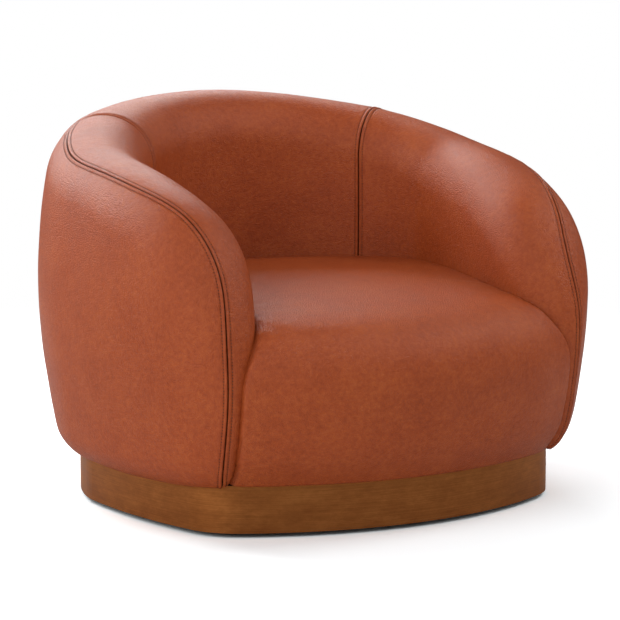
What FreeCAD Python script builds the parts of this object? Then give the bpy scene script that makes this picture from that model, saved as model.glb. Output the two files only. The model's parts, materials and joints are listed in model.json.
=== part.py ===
"""Leather tub armchair on a swivelling plinth, in millimetres, +Z up, front towards -Y."""

import FreeCAD
import Part
import Sketcher

import math
import os

from FreeCAD import Placement, Rotation, Vector

DOC = FreeCAD.newDocument("LeatherTubArmchair")
SHEET = DOC.addObject("Spreadsheet::Sheet", "Sizes")

# Driving lengths in millimetres. Every other length is worked out from these.
SIZES = {
    # Plan outline of the plinth: the widest line lies plan_shift behind the swivel axis
    "plinth_half_width": 395.0,
    "plinth_front_depth": 430.0,
    "plinth_back_depth": 351.0,
    "plinth_corner_radius": 118.0,
    "plan_shift": 36.7,
    # Heights above the floor
    "floor_level": 0.0,
    "floor_gap": 8.0,
    "plinth_top_height": 86.4,
    "body_base_height": 90.0,
    "arm_rim_height": 610.5,
    "back_rim_height": 699.0,
    # Outer wall seen in section: an undercut at the foot, then a long belly
    "foot_overhang": 8.0,
    "undercut_radius": 60.0,
    "belly_radius": 1093.0,
    # Rolled rim and wall
    "rim_radius": 90.0,
    "wall_foot_width": 165.0,
    "arm_toe_width": 110.0,
    "wall_fan_reach": 150.0,
    # Leather, foam and frame inside the wall
    "leather_thickness": 2.0,
    "seating_gap": 0.3,
    "seam_gap": 0.5,
    "outer_padding": 20.0,
    "inner_padding": 48.0,
    "rim_padding": 42.0,
    "rib_thickness": 18.0,
    "rib_clearance": 7.0,
    "ring_clearance": 9.0,
    "base_ring_thickness": 15.0,
    "rim_rail_height": 18.0,
    "rim_rail_width": 46.0,
    # Seat
    "seat_crown_height": 397.0,
    "seat_back_height": 384.0,
    "seat_shoulder_height": 357.0,
    "seat_shoulder_start": 262.0,
    "seat_shoulder_depth": 84.0,
    "seat_side_fall": 26.0,
    "seat_side_inset": 59.0,
    "seat_edge_setback": 20.0,
    "seat_back_overlap": 19.3,
    "seat_front_padding": 20.0,
    # Seat box of solid rails with webbing
    "rail_thickness": 25.0,
    "seat_box_side_gap": 190.0,
    "seat_box_back_gap": 126.7,
    "seat_box_height": 160.0,
    "corner_block_size": 60.0,
    "webbing_width": 50.0,
    "webbing_thickness": 2.0,
    "webbing_margin": 30.0,
    "felt_thickness": 4.0,
    # Plinth
    "band_thickness": 1.5,
    "core_thickness": 15.0,
    "board_thickness": 18.0,
    "reveal_setback": 6.0,
    "cleat_size": 28.0,
    "cleat_ring_inset": 57.7,
    # Swivel
    "floor_disc_inset": 97.7,
    "glide_radius": 20.0,
    "glide_height": 4.0,
    "glide_ring_inset": 35.0,
    "plate_radius": 150.0,
    "plate_thickness": 3.0,
    "plate_bore_radius": 30.0,
    "hub_radius": 60.0,
    "hub_wall": 3.0,
    "hub_lip_width": 9.0,
    "hub_gap": 0.6,
    "board_bore_gap": 3.0,
    "slide_ring_inner_radius": 95.0,
    "slide_ring_outer_radius": 125.0,
    "slide_ring_thickness": 4.0,
    "lower_bolt_ring_radius": 43.0,
    "upper_bolt_ring_radius": 138.0,
    "bolt_radius": 4.0,
    "bolt_head_radius": 7.0,
    "bolt_head_height": 4.5,
    "bolt_grip": 12.0,
}

# Lengths that the sheet works out from the ones above, so that the pieces keep together
FORMULAS = {
    "wall_foot_back": "=plan_shift + plinth_back_depth + foot_overhang - wall_foot_width",
    "seat_half_width": "=plinth_half_width - seat_side_inset",
    "seat_back_reach": "=wall_foot_back + seat_back_overlap",
    "seat_box_half_width": "=plinth_half_width - seat_box_side_gap",
    "seat_box_back": "=wall_foot_back - seat_box_back_gap",
    # The swivel's axis stands plan_shift off the middle of the outline, so the least reach counts
    "least_reach": "=min(plan_shift + plinth_back_depth; plinth_half_width; plinth_front_depth - plan_shift)",
    "cleat_ring_radius": "=least_reach - cleat_ring_inset",
    "floor_disc_radius": "=least_reach - floor_disc_inset",
    "glide_ring_radius": "=floor_disc_radius - glide_ring_inset",
}

# Angles in degrees, counts and pure shares: none of these is a length
SIDE_TURN = 16.8
FRONT_HALF_TURN = 28.8
SIDE_BACK_TURN = 11.1
UNDERCUT_START = 25.0
UNDERCUT_END = 77.0
FAN_ANGLES = (180.0, 175.5, 171.0, 166.5, 153.0, 138.0)
OUTER_RIM_STEPS = 4
INNER_RIM_STEPS = 6
INNER_WALL_STEPS = 3
BACK_SEAM_TURN = 57.0
HOLLOW_TURN = 5.0
TOE_HOLLOW_TURN = 1.5
ARC_MIDDLE_SHARE = 0.5
ARM_RIB_TILTS = (38.0, 18.0)
ARM_RIB_SHARES = (0.12,)
BACK_RIB_SHARES = (0.57, 0.79, 1.0)
HOLLOW_END_TILT = 47.0
RAIL_END_TILT = 38.0
GLIDE_COUNT = 6
GLIDE_SIDES = 12
BOLT_COUNT = 4
BOLT_SIDES = 6
INNER_OUTLINE_TURN = 14.0
TANGENT_TURN = 0.05
HALVINGS = 48
CLEAT_COUNT = 6
WEBBING_COUNT = 5

# Sections through the back wall, from the widest line round to the middle of the back:
# share of the way along the outline, share of the rise from the arm rim to the back rim
BACK_STATION_SHARES = (
    (0.0, 0.0),
    (0.12, 0.215),
    (0.25, 0.425),
    (0.371, 0.595),
    (0.47, 0.695),
    (0.57, 0.785),
    (0.68, 0.87),
    (0.79, 0.937),
    (0.895, 0.98),
    (1.0, 1.0),
)
CORNER_SEAM_SHARE = 0.371

# Fan of sections down each arm. The planes all hold the X direction: each has its tilt in degrees,
# the share of the front depth that its foot stands forward, the share of the rim radius,
# the lean in degrees of the point where the rim begins, the turn in degrees from there to the seam,
# and the share of the way from the full wall foot to the narrow toe
ARM_STATION_SHARES = (
    (9.0, 0.051, 1.0, 115.1, 55.6, 0.0),
    (18.0, 0.112, 1.0, 114.4, 55.2, 0.0),
    (28.0, 0.181, 0.978, 113.3, 54.8, 0.0),
    (38.0, 0.247, 0.889, 113.0, 54.6, 0.0),
    (47.0, 0.302, 0.689, 110.1, 31.2, 0.0),
    (56.0, 0.356, 0.467, 109.9, 9.0, 0.13),
    (65.0, 0.412, 0.333, 114.5, 6.5, 0.38),
    (73.0, 0.460, 0.267, 119.6, 6.8, 0.58),
    (80.0, 0.502, 0.2, 125.0, 8.9, 0.75),
    (86.0, 0.542, 0.122, 130.6, 6.4, 0.89),
    (90.0, 0.570, 0.067, 135.8, 7.9, 1.0),
)

# Lengthwise sections through the seat: share of its half width, share of the fall at the side,
# share of the setback at the crease
SEAT_STATION_SHARES = (
    (0.0, 0.0, 0.0),
    (0.35, 0.1, 0.0),
    (0.65, 0.38, 0.0),
    (0.86, 0.72, 0.06),
    (0.95, 0.9, 0.38),
    (1.0, 1.0, 1.0),
)

# Places along the seat's front, shoulder and crown, as shares of each stretch
FRONT_RISE_SHARES = (0.0, 0.25, 0.55, 1.0)
FRONT_BELLY_SHARES = (0.5, 1.0)
SHOULDER_SHARES = ((0.045, 0.27), (0.17, 0.55), (0.37, 0.78), (0.65, 0.93), (1.0, 1.0))
CROWN_SHARES = ((0.28, 0.38), (0.62, 0.79), (1.0, 1.0))
REAR_SHARES = ((0.5, 0.32), (1.0, 1.0))

for row, (alias, value) in enumerate({**SIZES, **FORMULAS}.items(), start=1):
    SHEET.set("A%d" % row, alias)
    SHEET.set("B%d" % row, "%s" % value)
    SHEET.setAlias("B%d" % row, alias)
DOC.recompute()


def size(alias):
    """Length in millimetres from the sheet."""
    return float(SHEET.get(alias))


NODES = []


def keep(thing, label):
    """Give a finished sub-part its label and put it on the list of parts."""
    thing.Label = label
    NODES.append(thing)
    return thing


def feature(label, shape):
    """Sub-part whose form is worked out here from its sections."""
    thing = DOC.addObject("Part::Feature", label)
    thing.Shape = shape
    thing.Placement = Placement()
    return keep(thing, label)


# Plan outline of tangent arcs

def turn(degrees):
    """Cosine and sine of an angle in degrees."""
    angle = math.radians(degrees)
    return math.cos(angle), math.sin(angle)


def solve_pair(a, b, c, d, right, below):
    """Solve the two equations a x + b y = right and c x + d y = below."""
    base = a * d - b * c
    return (right * d - b * below) / base, (a * below - right * c) / base


class Outline:
    """D-shaped plan outline: bowed front, round corners, slightly bowed sides and a round back."""

    def __init__(self):
        half = size("plinth_half_width")
        front = size("plinth_front_depth")
        back = size("plinth_back_depth")
        corner = size("plinth_corner_radius")
        side_cos, side_sin = turn(SIDE_TURN)
        front_cos, front_sin = turn(FRONT_HALF_TURN)
        rear_cos, rear_sin = turn(SIDE_BACK_TURN)
        side, bow = solve_pair(
            1 - side_cos, front_sin, side_sin, 1 - front_cos,
            half - corner * (side_cos - front_sin),
            front - corner * (front_cos - side_sin),
        )
        shoulder, rear = solve_pair(1 - rear_cos, rear_cos, rear_sin, 1 - rear_sin, half, back)
        shift = size("plan_shift")
        bow_centre = bow - front
        corner_x = (bow - corner) * front_sin
        corner_y = bow_centre - (bow - corner) * front_cos
        # Each arc: centre x, centre y, radius, first and last angle in degrees, front to back
        self.arcs = (
            (0.0, bow_centre + shift, bow, -90.0, -90.0 + FRONT_HALF_TURN),
            (corner_x, corner_y + shift, corner, -90.0 + FRONT_HALF_TURN, -SIDE_TURN),
            (half - side, shift, side, -SIDE_TURN, 0.0),
            (half - shoulder, shift, shoulder, 0.0, SIDE_BACK_TURN),
            (0.0, back - rear + shift, rear, SIDE_BACK_TURN, 90.0),
        )
        self.shift = shift

    def arc_point(self, arc, angle, outset):
        """Point of one arc, moved out by outset."""
        x, y, radius, _, _ = arc
        cos, sin = turn(angle)
        return Vector(x + (radius + outset) * cos, y + (radius + outset) * sin, 0)

    def rear_point(self, share, shift):
        """Point and outward direction at a share of the way from the widest line to the back."""
        lengths = [math.radians(arc[4] - arc[3]) * arc[2] for arc in self.arcs[3:]]
        run = share * sum(lengths) + shift
        arc = self.arcs[3]
        if run > lengths[0]:
            run -= lengths[0]
            arc = self.arcs[4]
        angle = arc[3] + math.degrees(run / arc[2])
        cos, sin = turn(angle)
        return self.arc_point(arc, angle, size("foot_overhang")), Vector(cos, sin, 0)

    def distance(self, x, y):
        """Distance of a plan point outside the outline, for x of either sign."""
        x = abs(x)
        if y >= self.shift:
            arc = self.arcs[3]
            if math.degrees(math.atan2(y - arc[1], x - arc[0])) > SIDE_BACK_TURN:
                arc = self.arcs[4]
        else:
            arc = self.arcs[2]
            if math.degrees(math.atan2(y - arc[1], x - arc[0])) < -SIDE_TURN:
                arc = self.arcs[1]
                if math.degrees(math.atan2(y - arc[1], x - arc[0])) < -90.0 + FRONT_HALF_TURN:
                    arc = self.arcs[0]
        return math.hypot(x - arc[0], y - arc[1]) - arc[2]

    def front_y(self, x, outset):
        """Y of the front outline, moved out by outset, at a given x."""
        x = abs(x)
        bow = self.arcs[0]
        _, front_sin = turn(FRONT_HALF_TURN)
        if x <= (bow[2] + outset) * front_sin:
            return bow[1] - math.sqrt((bow[2] + outset) ** 2 - x ** 2)
        corner = self.arcs[1]
        return corner[1] - math.sqrt((corner[2] + outset) ** 2 - (x - corner[0]) ** 2)

    def face(self, outset, height):
        """Flat face bounded by the whole outline, moved out by outset."""
        edges = []
        for arc in self.arcs:
            spots = [self.arc_point(arc, angle, outset)
                     for angle in (arc[3], (arc[3] + arc[4]) * ARC_MIDDLE_SHARE, arc[4])]
            edges.append(Part.Arc(*spots).toShape())
        for arc in reversed(self.arcs):
            spots = [self.arc_point(arc, angle, outset)
                     for angle in (arc[4], (arc[3] + arc[4]) * ARC_MIDDLE_SHARE, arc[3])]
            spots = [Vector(-spot.x, spot.y, 0) for spot in spots]
            edges.append(Part.Arc(*spots).toShape())
        face = Part.Face(Part.Wire(edges))
        face.translate(Vector(0, 0, height))
        return face

    def straight_face(self, outset, height):
        """Flat face with straight sides, its corners on the outline moved out by outset."""
        spots = []
        for arc in self.arcs:
            count = math.ceil((arc[4] - arc[3]) / INNER_OUTLINE_TURN)
            spots += [self.arc_point(arc, arc[3] + (arc[4] - arc[3]) * number / count, outset)
                      for number in range(count)]
        last = self.arcs[-1]
        spots.append(self.arc_point(last, last[4], outset))
        spots += [Vector(-spot.x, spot.y, 0) for spot in reversed(spots[1:-1])]
        face = Part.Face(Part.makePolygon(spots + spots[:1]))
        face.translate(Vector(0, 0, height))
        return face


OUTLINE = Outline()


class Belly:
    """Outward reach of the outer wall beyond the plinth outline, by height."""

    def __init__(self):
        self.base = size("body_base_height")
        self.foot = size("foot_overhang")
        self.tuck = size("undercut_radius")
        self.radius = size("belly_radius")
        start_cos, start_sin = turn(UNDERCUT_START)
        end_cos, end_sin = turn(UNDERCUT_END)
        self.tuck_reach = self.foot - self.tuck * start_sin
        self.tuck_height = self.base + self.tuck * start_cos
        self.join_height = self.tuck_height - self.tuck * end_cos
        join_reach = self.tuck_reach + self.tuck * end_sin
        self.centre_reach = join_reach - self.radius * end_sin
        self.centre_height = self.join_height + self.radius * end_cos

    def reach(self, height):
        """Reach beyond the outline at a height."""
        if height <= self.base:
            return self.foot
        if height < self.join_height:
            rise = height - self.tuck_height
            return self.tuck_reach + math.sqrt(self.tuck ** 2 - rise ** 2)
        rise = height - self.centre_height
        return self.centre_reach + math.sqrt(self.radius ** 2 - rise ** 2)


BELLY = Belly()


# Sections through the padded wall, each in its own plane

class Section:
    """Closed profile of the wall: outer belly, rolled rim and inner face.

    Places in the plane are pairs: how far inward from the outer foot, and how far up the plane.
    """

    def __init__(self, foot, inward, upward, lean, nose, seam_turn, hollow, foot_width):
        self.foot = foot
        self.inward = inward
        self.upward = upward
        self.nose = nose
        self.seam_turn = seam_turn
        self.foot_width = foot_width
        self.fan = size("wall_fan_reach")
        last = (FAN_ANGLES[-1] + lean) * ARC_MIDDLE_SHARE
        self.fans = FAN_ANGLES + (last, lean)
        start, normal = self.belly_point(lean)
        self.centre = (start[0] - normal[0] * nose, start[1] - normal[1] * nose)
        self.start_angle = math.degrees(math.atan2(normal[1], normal[0]))
        # The inner face leaves the rim near the line from the wall's foot that touches the rim
        across = foot_width - self.centre[0]
        down = self.centre[1]
        touch = math.degrees(math.acos(nose / math.hypot(across, down)) - math.atan2(down, across))
        self.nose_turn = self.start_angle - touch + hollow

    def place(self, spot):
        """Point in space of a place in the plane."""
        return self.foot + self.inward * spot[0] + self.upward * spot[1]

    def outside(self, spot):
        """How far a place lies outside the belly, measured level."""
        point = self.place(spot)
        return OUTLINE.distance(point.x, point.y) - BELLY.reach(point.z)

    def walk(self, fan):
        """Place on the belly seen from the middle of the wall's foot at an angle."""
        cos, sin = turn(fan)
        near = 0.0
        far = self.fan
        while self.outside((self.fan + far * cos, far * sin)) < 0:
            near = far
            far += self.fan
        for _ in range(HALVINGS):
            middle = (near + far) * ARC_MIDDLE_SHARE
            if self.outside((self.fan + middle * cos, middle * sin)) > 0:
                far = middle
            else:
                near = middle
        return self.fan + near * cos, near * sin

    def belly_point(self, fan):
        """Place on the belly and the direction straight out of it, in the plane."""
        spot = self.walk(fan)
        before = self.walk(fan + TANGENT_TURN)
        after = self.walk(fan - TANGENT_TURN)
        along = (after[0] - before[0], after[1] - before[1])
        length = math.hypot(*along)
        return spot, (-along[1] / length, along[0] / length)

    def rim_place(self, angle_turned, inset):
        """Place on the rolled rim, after a turn in degrees from where the rim begins."""
        cos, sin = turn(self.start_angle - angle_turned)
        return (self.centre[0] + (self.nose - inset) * cos,
                self.centre[1] + (self.nose - inset) * sin)

    def outer_places(self, inset):
        """Places up the belly, moved in by inset; the first stays on the foot line."""
        places = []
        for fan in self.fans:
            spot, normal = self.belly_point(fan)
            if not places:
                places.append((spot[0] - inset / normal[0], 0.0))
            else:
                places.append((spot[0] - inset * normal[0], spot[1] - inset * normal[1]))
        return places

    def outer_rim_places(self, start_inset, seam_inset):
        """Places over the outer part of the rim, up to the seam."""
        places = []
        for step in range(1, OUTER_RIM_STEPS + 1):
            share = step / OUTER_RIM_STEPS
            inset = start_inset + share * (seam_inset - start_inset)
            places.append(self.rim_place(share * self.seam_turn, inset))
        return places

    def inner_places(self, seam_inset, inset):
        """Places from the seam over the rim and down the inner face to the foot line."""
        places = []
        for step in range(1, INNER_RIM_STEPS + 1):
            share = step / INNER_RIM_STEPS
            angle = self.seam_turn + share * (self.nose_turn - self.seam_turn)
            places.append(self.rim_place(angle, seam_inset + share * (inset - seam_inset)))
        # The inner face leaves the rim smoothly on one hollow arc that ends at the foot
        start = self.rim_place(self.nose_turn, 0.0)
        heading = math.radians(self.start_angle - self.nose_turn - 90.0)
        chord = (self.foot_width - start[0], -start[1])
        length = math.hypot(*chord)
        swing = math.atan2(chord[1], chord[0]) - heading
        for step in range(1, INNER_WALL_STEPS + 1):
            share = step / INNER_WALL_STEPS
            run = length * math.sin(share * swing) / math.sin(swing)
            chord_heading = heading + share * swing
            along = heading + 2 * share * swing
            spot = (start[0] + run * math.cos(chord_heading), start[1] + run * math.sin(chord_heading))
            if step < INNER_WALL_STEPS:
                places.append((spot[0] + inset * math.sin(along), spot[1] - inset * math.cos(along)))
            else:
                places.append((self.foot_width + inset / math.sin(along), 0.0))
        return places

    def ring(self, *chains):
        """Points in space round a closed profile, through chains of places."""
        return [self.place(spot) for chain in chains for spot in chain]


def back_section(share, rise, shift=0.0):
    """Upright section of the back wall at a share of the way from the widest line."""
    point, outward = OUTLINE.rear_point(share, shift)
    nose = size("rim_radius")
    low = size("arm_rim_height")
    top = low + rise * (size("back_rim_height") - low)
    # The rim circle touches the belly from inside and reaches the rim height
    height = top - nose
    inner = BELLY.radius - nose
    rise_from_centre = height - BELLY.centre_height
    run = math.sqrt(inner ** 2 - rise_from_centre ** 2)
    touch_reach = BELLY.centre_reach + BELLY.radius * run / inner
    touch_height = BELLY.centre_height + BELLY.radius * rise_from_centre / inner
    fan = size("wall_fan_reach")
    lean = math.degrees(math.atan2(touch_height - BELLY.base, BELLY.foot - touch_reach - fan))
    foot = Vector(point.x, point.y, BELLY.base)
    return Section(foot, outward.negative(), Vector(0, 0, 1), lean, nose,
                   BACK_SEAM_TURN, HOLLOW_TURN, size("wall_foot_width"))


def arm_section(row):
    """Tilted section of an arm, from one row of the fan."""
    tilt, forward, nose_share, lean, seam_turn, toe = row
    cos, sin = turn(tilt)
    foot_y = OUTLINE.shift - forward * size("plinth_front_depth")
    near = 0.0
    far = size("plinth_half_width") + size("belly_radius")
    for _ in range(HALVINGS):
        middle = (near + far) * ARC_MIDDLE_SHARE
        if OUTLINE.distance(middle, foot_y) > BELLY.foot:
            far = middle
        else:
            near = middle
    foot_width = size("wall_foot_width") + toe * (size("arm_toe_width") - size("wall_foot_width"))
    return Section(Vector(near, foot_y, BELLY.base), Vector(-1, 0, 0), Vector(0, -sin, cos), lean,
                   nose_share * size("rim_radius"), seam_turn,
                   HOLLOW_TURN + toe * (TOE_HOLLOW_TURN - HOLLOW_TURN), foot_width)


ARM_SECTIONS = [arm_section(row) for row in reversed(ARM_STATION_SHARES)]
BACK_SECTIONS = [back_section(share, rise) for share, rise in BACK_STATION_SHARES]
CORNER_INDEX = [share for share, _ in BACK_STATION_SHARES].index(CORNER_SEAM_SHARE)
HALF_SEAM = size("seam_gap") * ARC_MIDDLE_SHARE
ARM_END = back_section(*BACK_STATION_SHARES[CORNER_INDEX], -HALF_SEAM)
BACK_END = back_section(*BACK_STATION_SHARES[CORNER_INDEX], HALF_SEAM)
# Stations of one arm, from its toe to the corner seam, and of half the back
ARM_RUN = ARM_SECTIONS + BACK_SECTIONS[:CORNER_INDEX] + [ARM_END]
HALF_BACK_RUN = [BACK_END] + BACK_SECTIONS[CORNER_INDEX + 1:]
TILTS = [row[0] for row in reversed(ARM_STATION_SHARES)]


def mirrored(shape):
    """Mirror image of a shape on the other side of the chair."""
    return shape.mirror(Vector(0, 0, 0), Vector(1, 0, 0))


def mirrored_ring(ring):
    """Mirror image of the points of a profile."""
    return [Vector(-point.x, point.y, point.z) for point in ring]


def whole_chain(section, outer, rim, inner):
    """Places all round the wall, moved in by three insets."""
    return (section.outer_places(outer) + section.outer_rim_places(outer, rim)
            + section.inner_places(rim, inner))


def full_profile(section, outer, rim, inner):
    """Whole closed profile of the wall."""
    return section.ring(whole_chain(section, outer, rim, inner))


def hollow_profile(section, inset, outer, rim, inner):
    """Profile of the padding: the wall less its hollow, open at the foot."""
    return section.ring(whole_chain(section, inset, inset, inset),
                        whole_chain(section, outer, rim, inner)[::-1])


def outer_strip(section, near, far):
    """Profile of a thin sheet up the belly and over the rim to the seam."""
    near_chain, far_chain = [section.outer_places(inset) + section.outer_rim_places(inset, inset)
                             for inset in (near, far)]
    return section.ring(near_chain, far_chain[::-1])


def inner_strip(section, near, far):
    """Profile of a thin sheet from the seam over the rim and down the inner face."""
    near_chain, far_chain = [[section.rim_place(section.seam_turn, inset)]
                             + section.inner_places(inset, inset) for inset in (near, far)]
    return section.ring(near_chain, far_chain[::-1])


def rail_profile(section, grow):
    """Rectangle of the rim rail, centred in the rim."""
    wide = size("rim_rail_width") * ARC_MIDDLE_SHARE + grow
    high = size("rim_rail_height") * ARC_MIDDLE_SHARE + grow
    x, y = section.centre
    return section.ring([(x - wide, y - high), (x - wide, y + high),
                         (x + wide, y + high), (x + wide, y - high)])


def ring_profile(section, outer, inner, low, high):
    """Rectangle of the ring at the foot of the wall."""
    return section.ring([(outer, low), (outer, high), (inner, high), (inner, low)])


def upright(shape):
    """Solid turned the right way out."""
    if shape.Volume < 0:
        shape.reverse()
    return shape


def flat(*points):
    """Flat face with straight edges through points."""
    return Part.Face(Part.makePolygon(list(points) + [points[0]]))


def loft(rings, sheet=False):
    """Closed solid through a run of like profiles, with flat three-cornered faces between them.

    In a sheet the second half of each profile runs back under the first, and its faces are split
    along the same diagonals, so that sheets and pads lie evenly on each other.
    """
    faces = [flat(*rings[0]), flat(*rings[-1])]
    for near, far in zip(rings, rings[1:]):
        count = len(near)
        for number in range(count):
            ahead = (number + 1) % count
            if sheet and number >= count // 2:
                faces.append(flat(near[number], near[ahead], far[number]))
                faces.append(flat(near[ahead], far[ahead], far[number]))
            else:
                faces.append(flat(near[number], near[ahead], far[ahead]))
                faces.append(flat(near[number], far[ahead], far[number]))
    return upright(Part.Solid(Part.Shell(faces)))


def arm_loft(profile, *insets, run=None):
    """Loft down the arm on the +X side."""
    return loft([profile(section, *insets) for section in (run or ARM_RUN)], profile in SHEETS)


def back_loft(profile, *insets, run=None):
    """Loft round the back, the same on both sides of the middle."""
    half = [profile(section, *insets) for section in (run or HALF_BACK_RUN)]
    return loft(half + [mirrored_ring(ring) for ring in reversed(half[:-1])], profile in SHEETS)


SHEETS = (hollow_profile, outer_strip, inner_strip)


LEATHER = size("leather_thickness")
SEAT_GAP = size("seating_gap")
FOAM_FACE = LEATHER + SEAT_GAP
OUTER_PAD = size("outer_padding")
RIM_PAD = size("rim_padding")
INNER_PAD = size("inner_padding")
BASE = size("body_base_height")

# Leather panels of the tub: thin shells that meet at the rim seam and at the corner seams

outer_arm = arm_loft(outer_strip, 0.0, LEATHER)
feature("right_outer_cover", outer_arm)
feature("left_outer_cover", mirrored(outer_arm))
feature("back_outer_cover", back_loft(outer_strip, 0.0, LEATHER))
inner_arm = arm_loft(inner_strip, 0.0, LEATHER)
feature("right_arm_cover", inner_arm)
feature("left_arm_cover", mirrored(inner_arm))
feature("inner_back_cover", back_loft(inner_strip, 0.0, LEATHER))

# Padding of the arms and the back: hollow where the frame stands, solid in the toe of each arm

HOLLOW_START = TILTS.index(HOLLOW_END_TILT)
toe_foam = arm_loft(full_profile, FOAM_FACE, FOAM_FACE, FOAM_FACE, run=ARM_RUN[:HOLLOW_START + 1])
arm_foam = arm_loft(hollow_profile, FOAM_FACE, OUTER_PAD, RIM_PAD, INNER_PAD,
                    run=ARM_RUN[HOLLOW_START:]).fuse(toe_foam)
feature("right_arm_foam", arm_foam)
feature("left_arm_foam", mirrored(arm_foam))
feature("back_foam", back_loft(hollow_profile, FOAM_FACE, OUTER_PAD, RIM_PAD, INNER_PAD))

# Frame inside the wall: a foot ring, sawn ribs and one bent rail in the rim

FRAME_GAP = size("rib_clearance")
RING_LIMITS = (OUTER_PAD + size("ring_clearance"),
               size("wall_foot_width") - INNER_PAD - size("ring_clearance"))
RING_TOP = size("base_ring_thickness")
FRAME_RUN = ARM_RUN[HOLLOW_START:-1] + [BACK_SECTIONS[CORNER_INDEX]] + BACK_SECTIONS[CORNER_INDEX + 1:]
RAIL_RUN = ARM_RUN[TILTS.index(RAIL_END_TILT):-1] + BACK_SECTIONS[CORNER_INDEX:]


def level_ring(run, low, high):
    """Flat U-shaped plate at the foot of the wall, made of straight level lengths."""
    outer, inner = RING_LIMITS
    outer_side = [section.foot + section.inward * outer for section in run]
    inner_side = [section.foot + section.inward * inner for section in run]
    spots = outer_side + mirrored_ring(outer_side[:-1])[::-1]
    spots += mirrored_ring(inner_side[:-1]) + inner_side[::-1]
    face = flat(*spots)
    face.translate(Vector(0, 0, low))
    return upright(face.extrude(Vector(0, 0, high - low)))


feature("tub_base_ring", level_ring(FRAME_RUN, SEAT_GAP, RING_TOP))
feature("rim_rail", back_loft(rail_profile, 0.0, run=RAIL_RUN))
rail_room = back_loft(rail_profile, SEAT_GAP, run=RAIL_RUN)


def rib(section):
    """Sawn rib that fills the hollow of the wall and lets the rim rail through."""
    clear = FRAME_GAP
    profile = flat(*full_profile(section, OUTER_PAD + clear, RIM_PAD + clear, INNER_PAD + clear))
    across = section.inward.cross(section.upward)
    thick = size("rib_thickness")
    profile.translate(across * (-thick * ARC_MIDDLE_SHARE))
    shape = upright(profile.extrude(across * thick))
    reach = size("plinth_half_width") + size("plinth_back_depth")
    floor = Part.makeBox(reach * 2, reach * 2, BASE + RING_TOP + SEAT_GAP)
    floor.translate(Vector(-reach, -reach, 0))
    return shape.cut(floor).cut(rail_room)


arm_ribs = [rib(ARM_SECTIONS[TILTS.index(tilt)]) for tilt in ARM_RIB_TILTS]
arm_ribs += [rib(back_section(share, rise)) for share, rise in BACK_STATION_SHARES
             if share in ARM_RIB_SHARES]
feature("right_arm_ribs", Part.makeCompound(arm_ribs))
feature("left_arm_ribs", Part.makeCompound([mirrored(shape) for shape in arm_ribs]))
back_ribs = []
for share, rise in BACK_STATION_SHARES:
    if share in BACK_RIB_SHARES:
        shape = rib(back_section(share, rise))
        back_ribs.append(shape)
        if share < 1:
            back_ribs.append(mirrored(shape))
feature("back_ribs", Part.makeCompound(back_ribs))

# Seat: one waterfall pad between the arms, leather over foam

DECK = (BASE + SEAT_GAP + size("seat_box_height") + 2 * (SEAT_GAP + size("webbing_thickness"))
        + 2 * SEAT_GAP + size("felt_thickness"))


def seat_chain(across, fall, setback, inset):
    """Places up the front, over the shoulder and back over the crown, at one x."""
    x = across * size("seat_half_width")
    drop = fall * size("seat_side_fall")
    back = setback * size("seat_edge_setback") + inset
    start = size("seat_shoulder_start")
    low = BASE + SEAT_GAP
    rises = [low + share * (BELLY.join_height - low) for share in FRONT_RISE_SHARES]
    rises += [BELLY.join_height + share * (start - BELLY.join_height) for share in FRONT_BELLY_SHARES]
    points = [Vector(x, OUTLINE.front_y(x, BELLY.reach(height)) + back, height) for height in rises]
    front = points[-1]
    shoulder = Vector(x, front.y + size("seat_shoulder_depth"),
                      size("seat_shoulder_height") - drop - inset)
    crown = Vector(x, OUTLINE.shift, size("seat_crown_height") - drop - inset)
    rear = Vector(x, size("seat_back_reach"), size("seat_back_height") - drop - inset)
    rise = shoulder.z - front.z
    for along, up in SHOULDER_SHARES:
        points.append(Vector(x, front.y + along * (shoulder.y - front.y), front.z + up * rise))
    for along, up in CROWN_SHARES:
        points.append(Vector(x, shoulder.y + along * (crown.y - shoulder.y),
                             shoulder.z + up * (crown.z - shoulder.z)))
    for along, up in REAR_SHARES:
        points.append(Vector(x, crown.y + along * (rear.y - crown.y), crown.z + up * (rear.z - crown.z)))
    return points


def seat_loft(profile):
    """Loft across the seat through lengthwise profiles."""
    half = [profile(*row) for row in SEAT_STATION_SHARES]
    return loft([mirrored_ring(ring) for ring in reversed(half[1:])] + half, profile is seat_strip)


def seat_strip(across, fall, setback):
    """Profile of the seat leather."""
    return seat_chain(across, fall, setback, 0.0) + seat_chain(across, fall, setback, LEATHER)[::-1]


def seat_body(across, fall, setback):
    """Profile of the seat foam before it is cut to its frame."""
    points = seat_chain(across, fall, setback, FOAM_FACE)
    return points + [Vector(points[-1].x, points[-1].y, points[0].z)]


wall_room = arm_loft(full_profile, -SEAT_GAP, -SEAT_GAP, -SEAT_GAP)
back_room = back_loft(full_profile, -SEAT_GAP, -SEAT_GAP, -SEAT_GAP)


def between_walls(shape):
    """What is left of a shape between the arms and in front of the back."""
    for room in (wall_room, mirrored(wall_room), back_room):
        shape = shape.cut(room)
    return shape


def largest(shape):
    """The largest solid of a shape."""
    return max(shape.Solids, key=lambda solid: solid.Volume)


feature("seat_cover", largest(between_walls(seat_loft(seat_strip))))


def prism(outset, low, high):
    """Solid inside the plan outline moved out by outset, between two heights."""
    return upright(OUTLINE.face(outset, low).extrude(Vector(0, 0, high - low)))


def straight_prism(outset, low, high):
    """Straight-sided solid inside the plan outline moved out by outset, between two heights."""
    return upright(OUTLINE.straight_face(outset, low).extrude(Vector(0, 0, high - low)))


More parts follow.
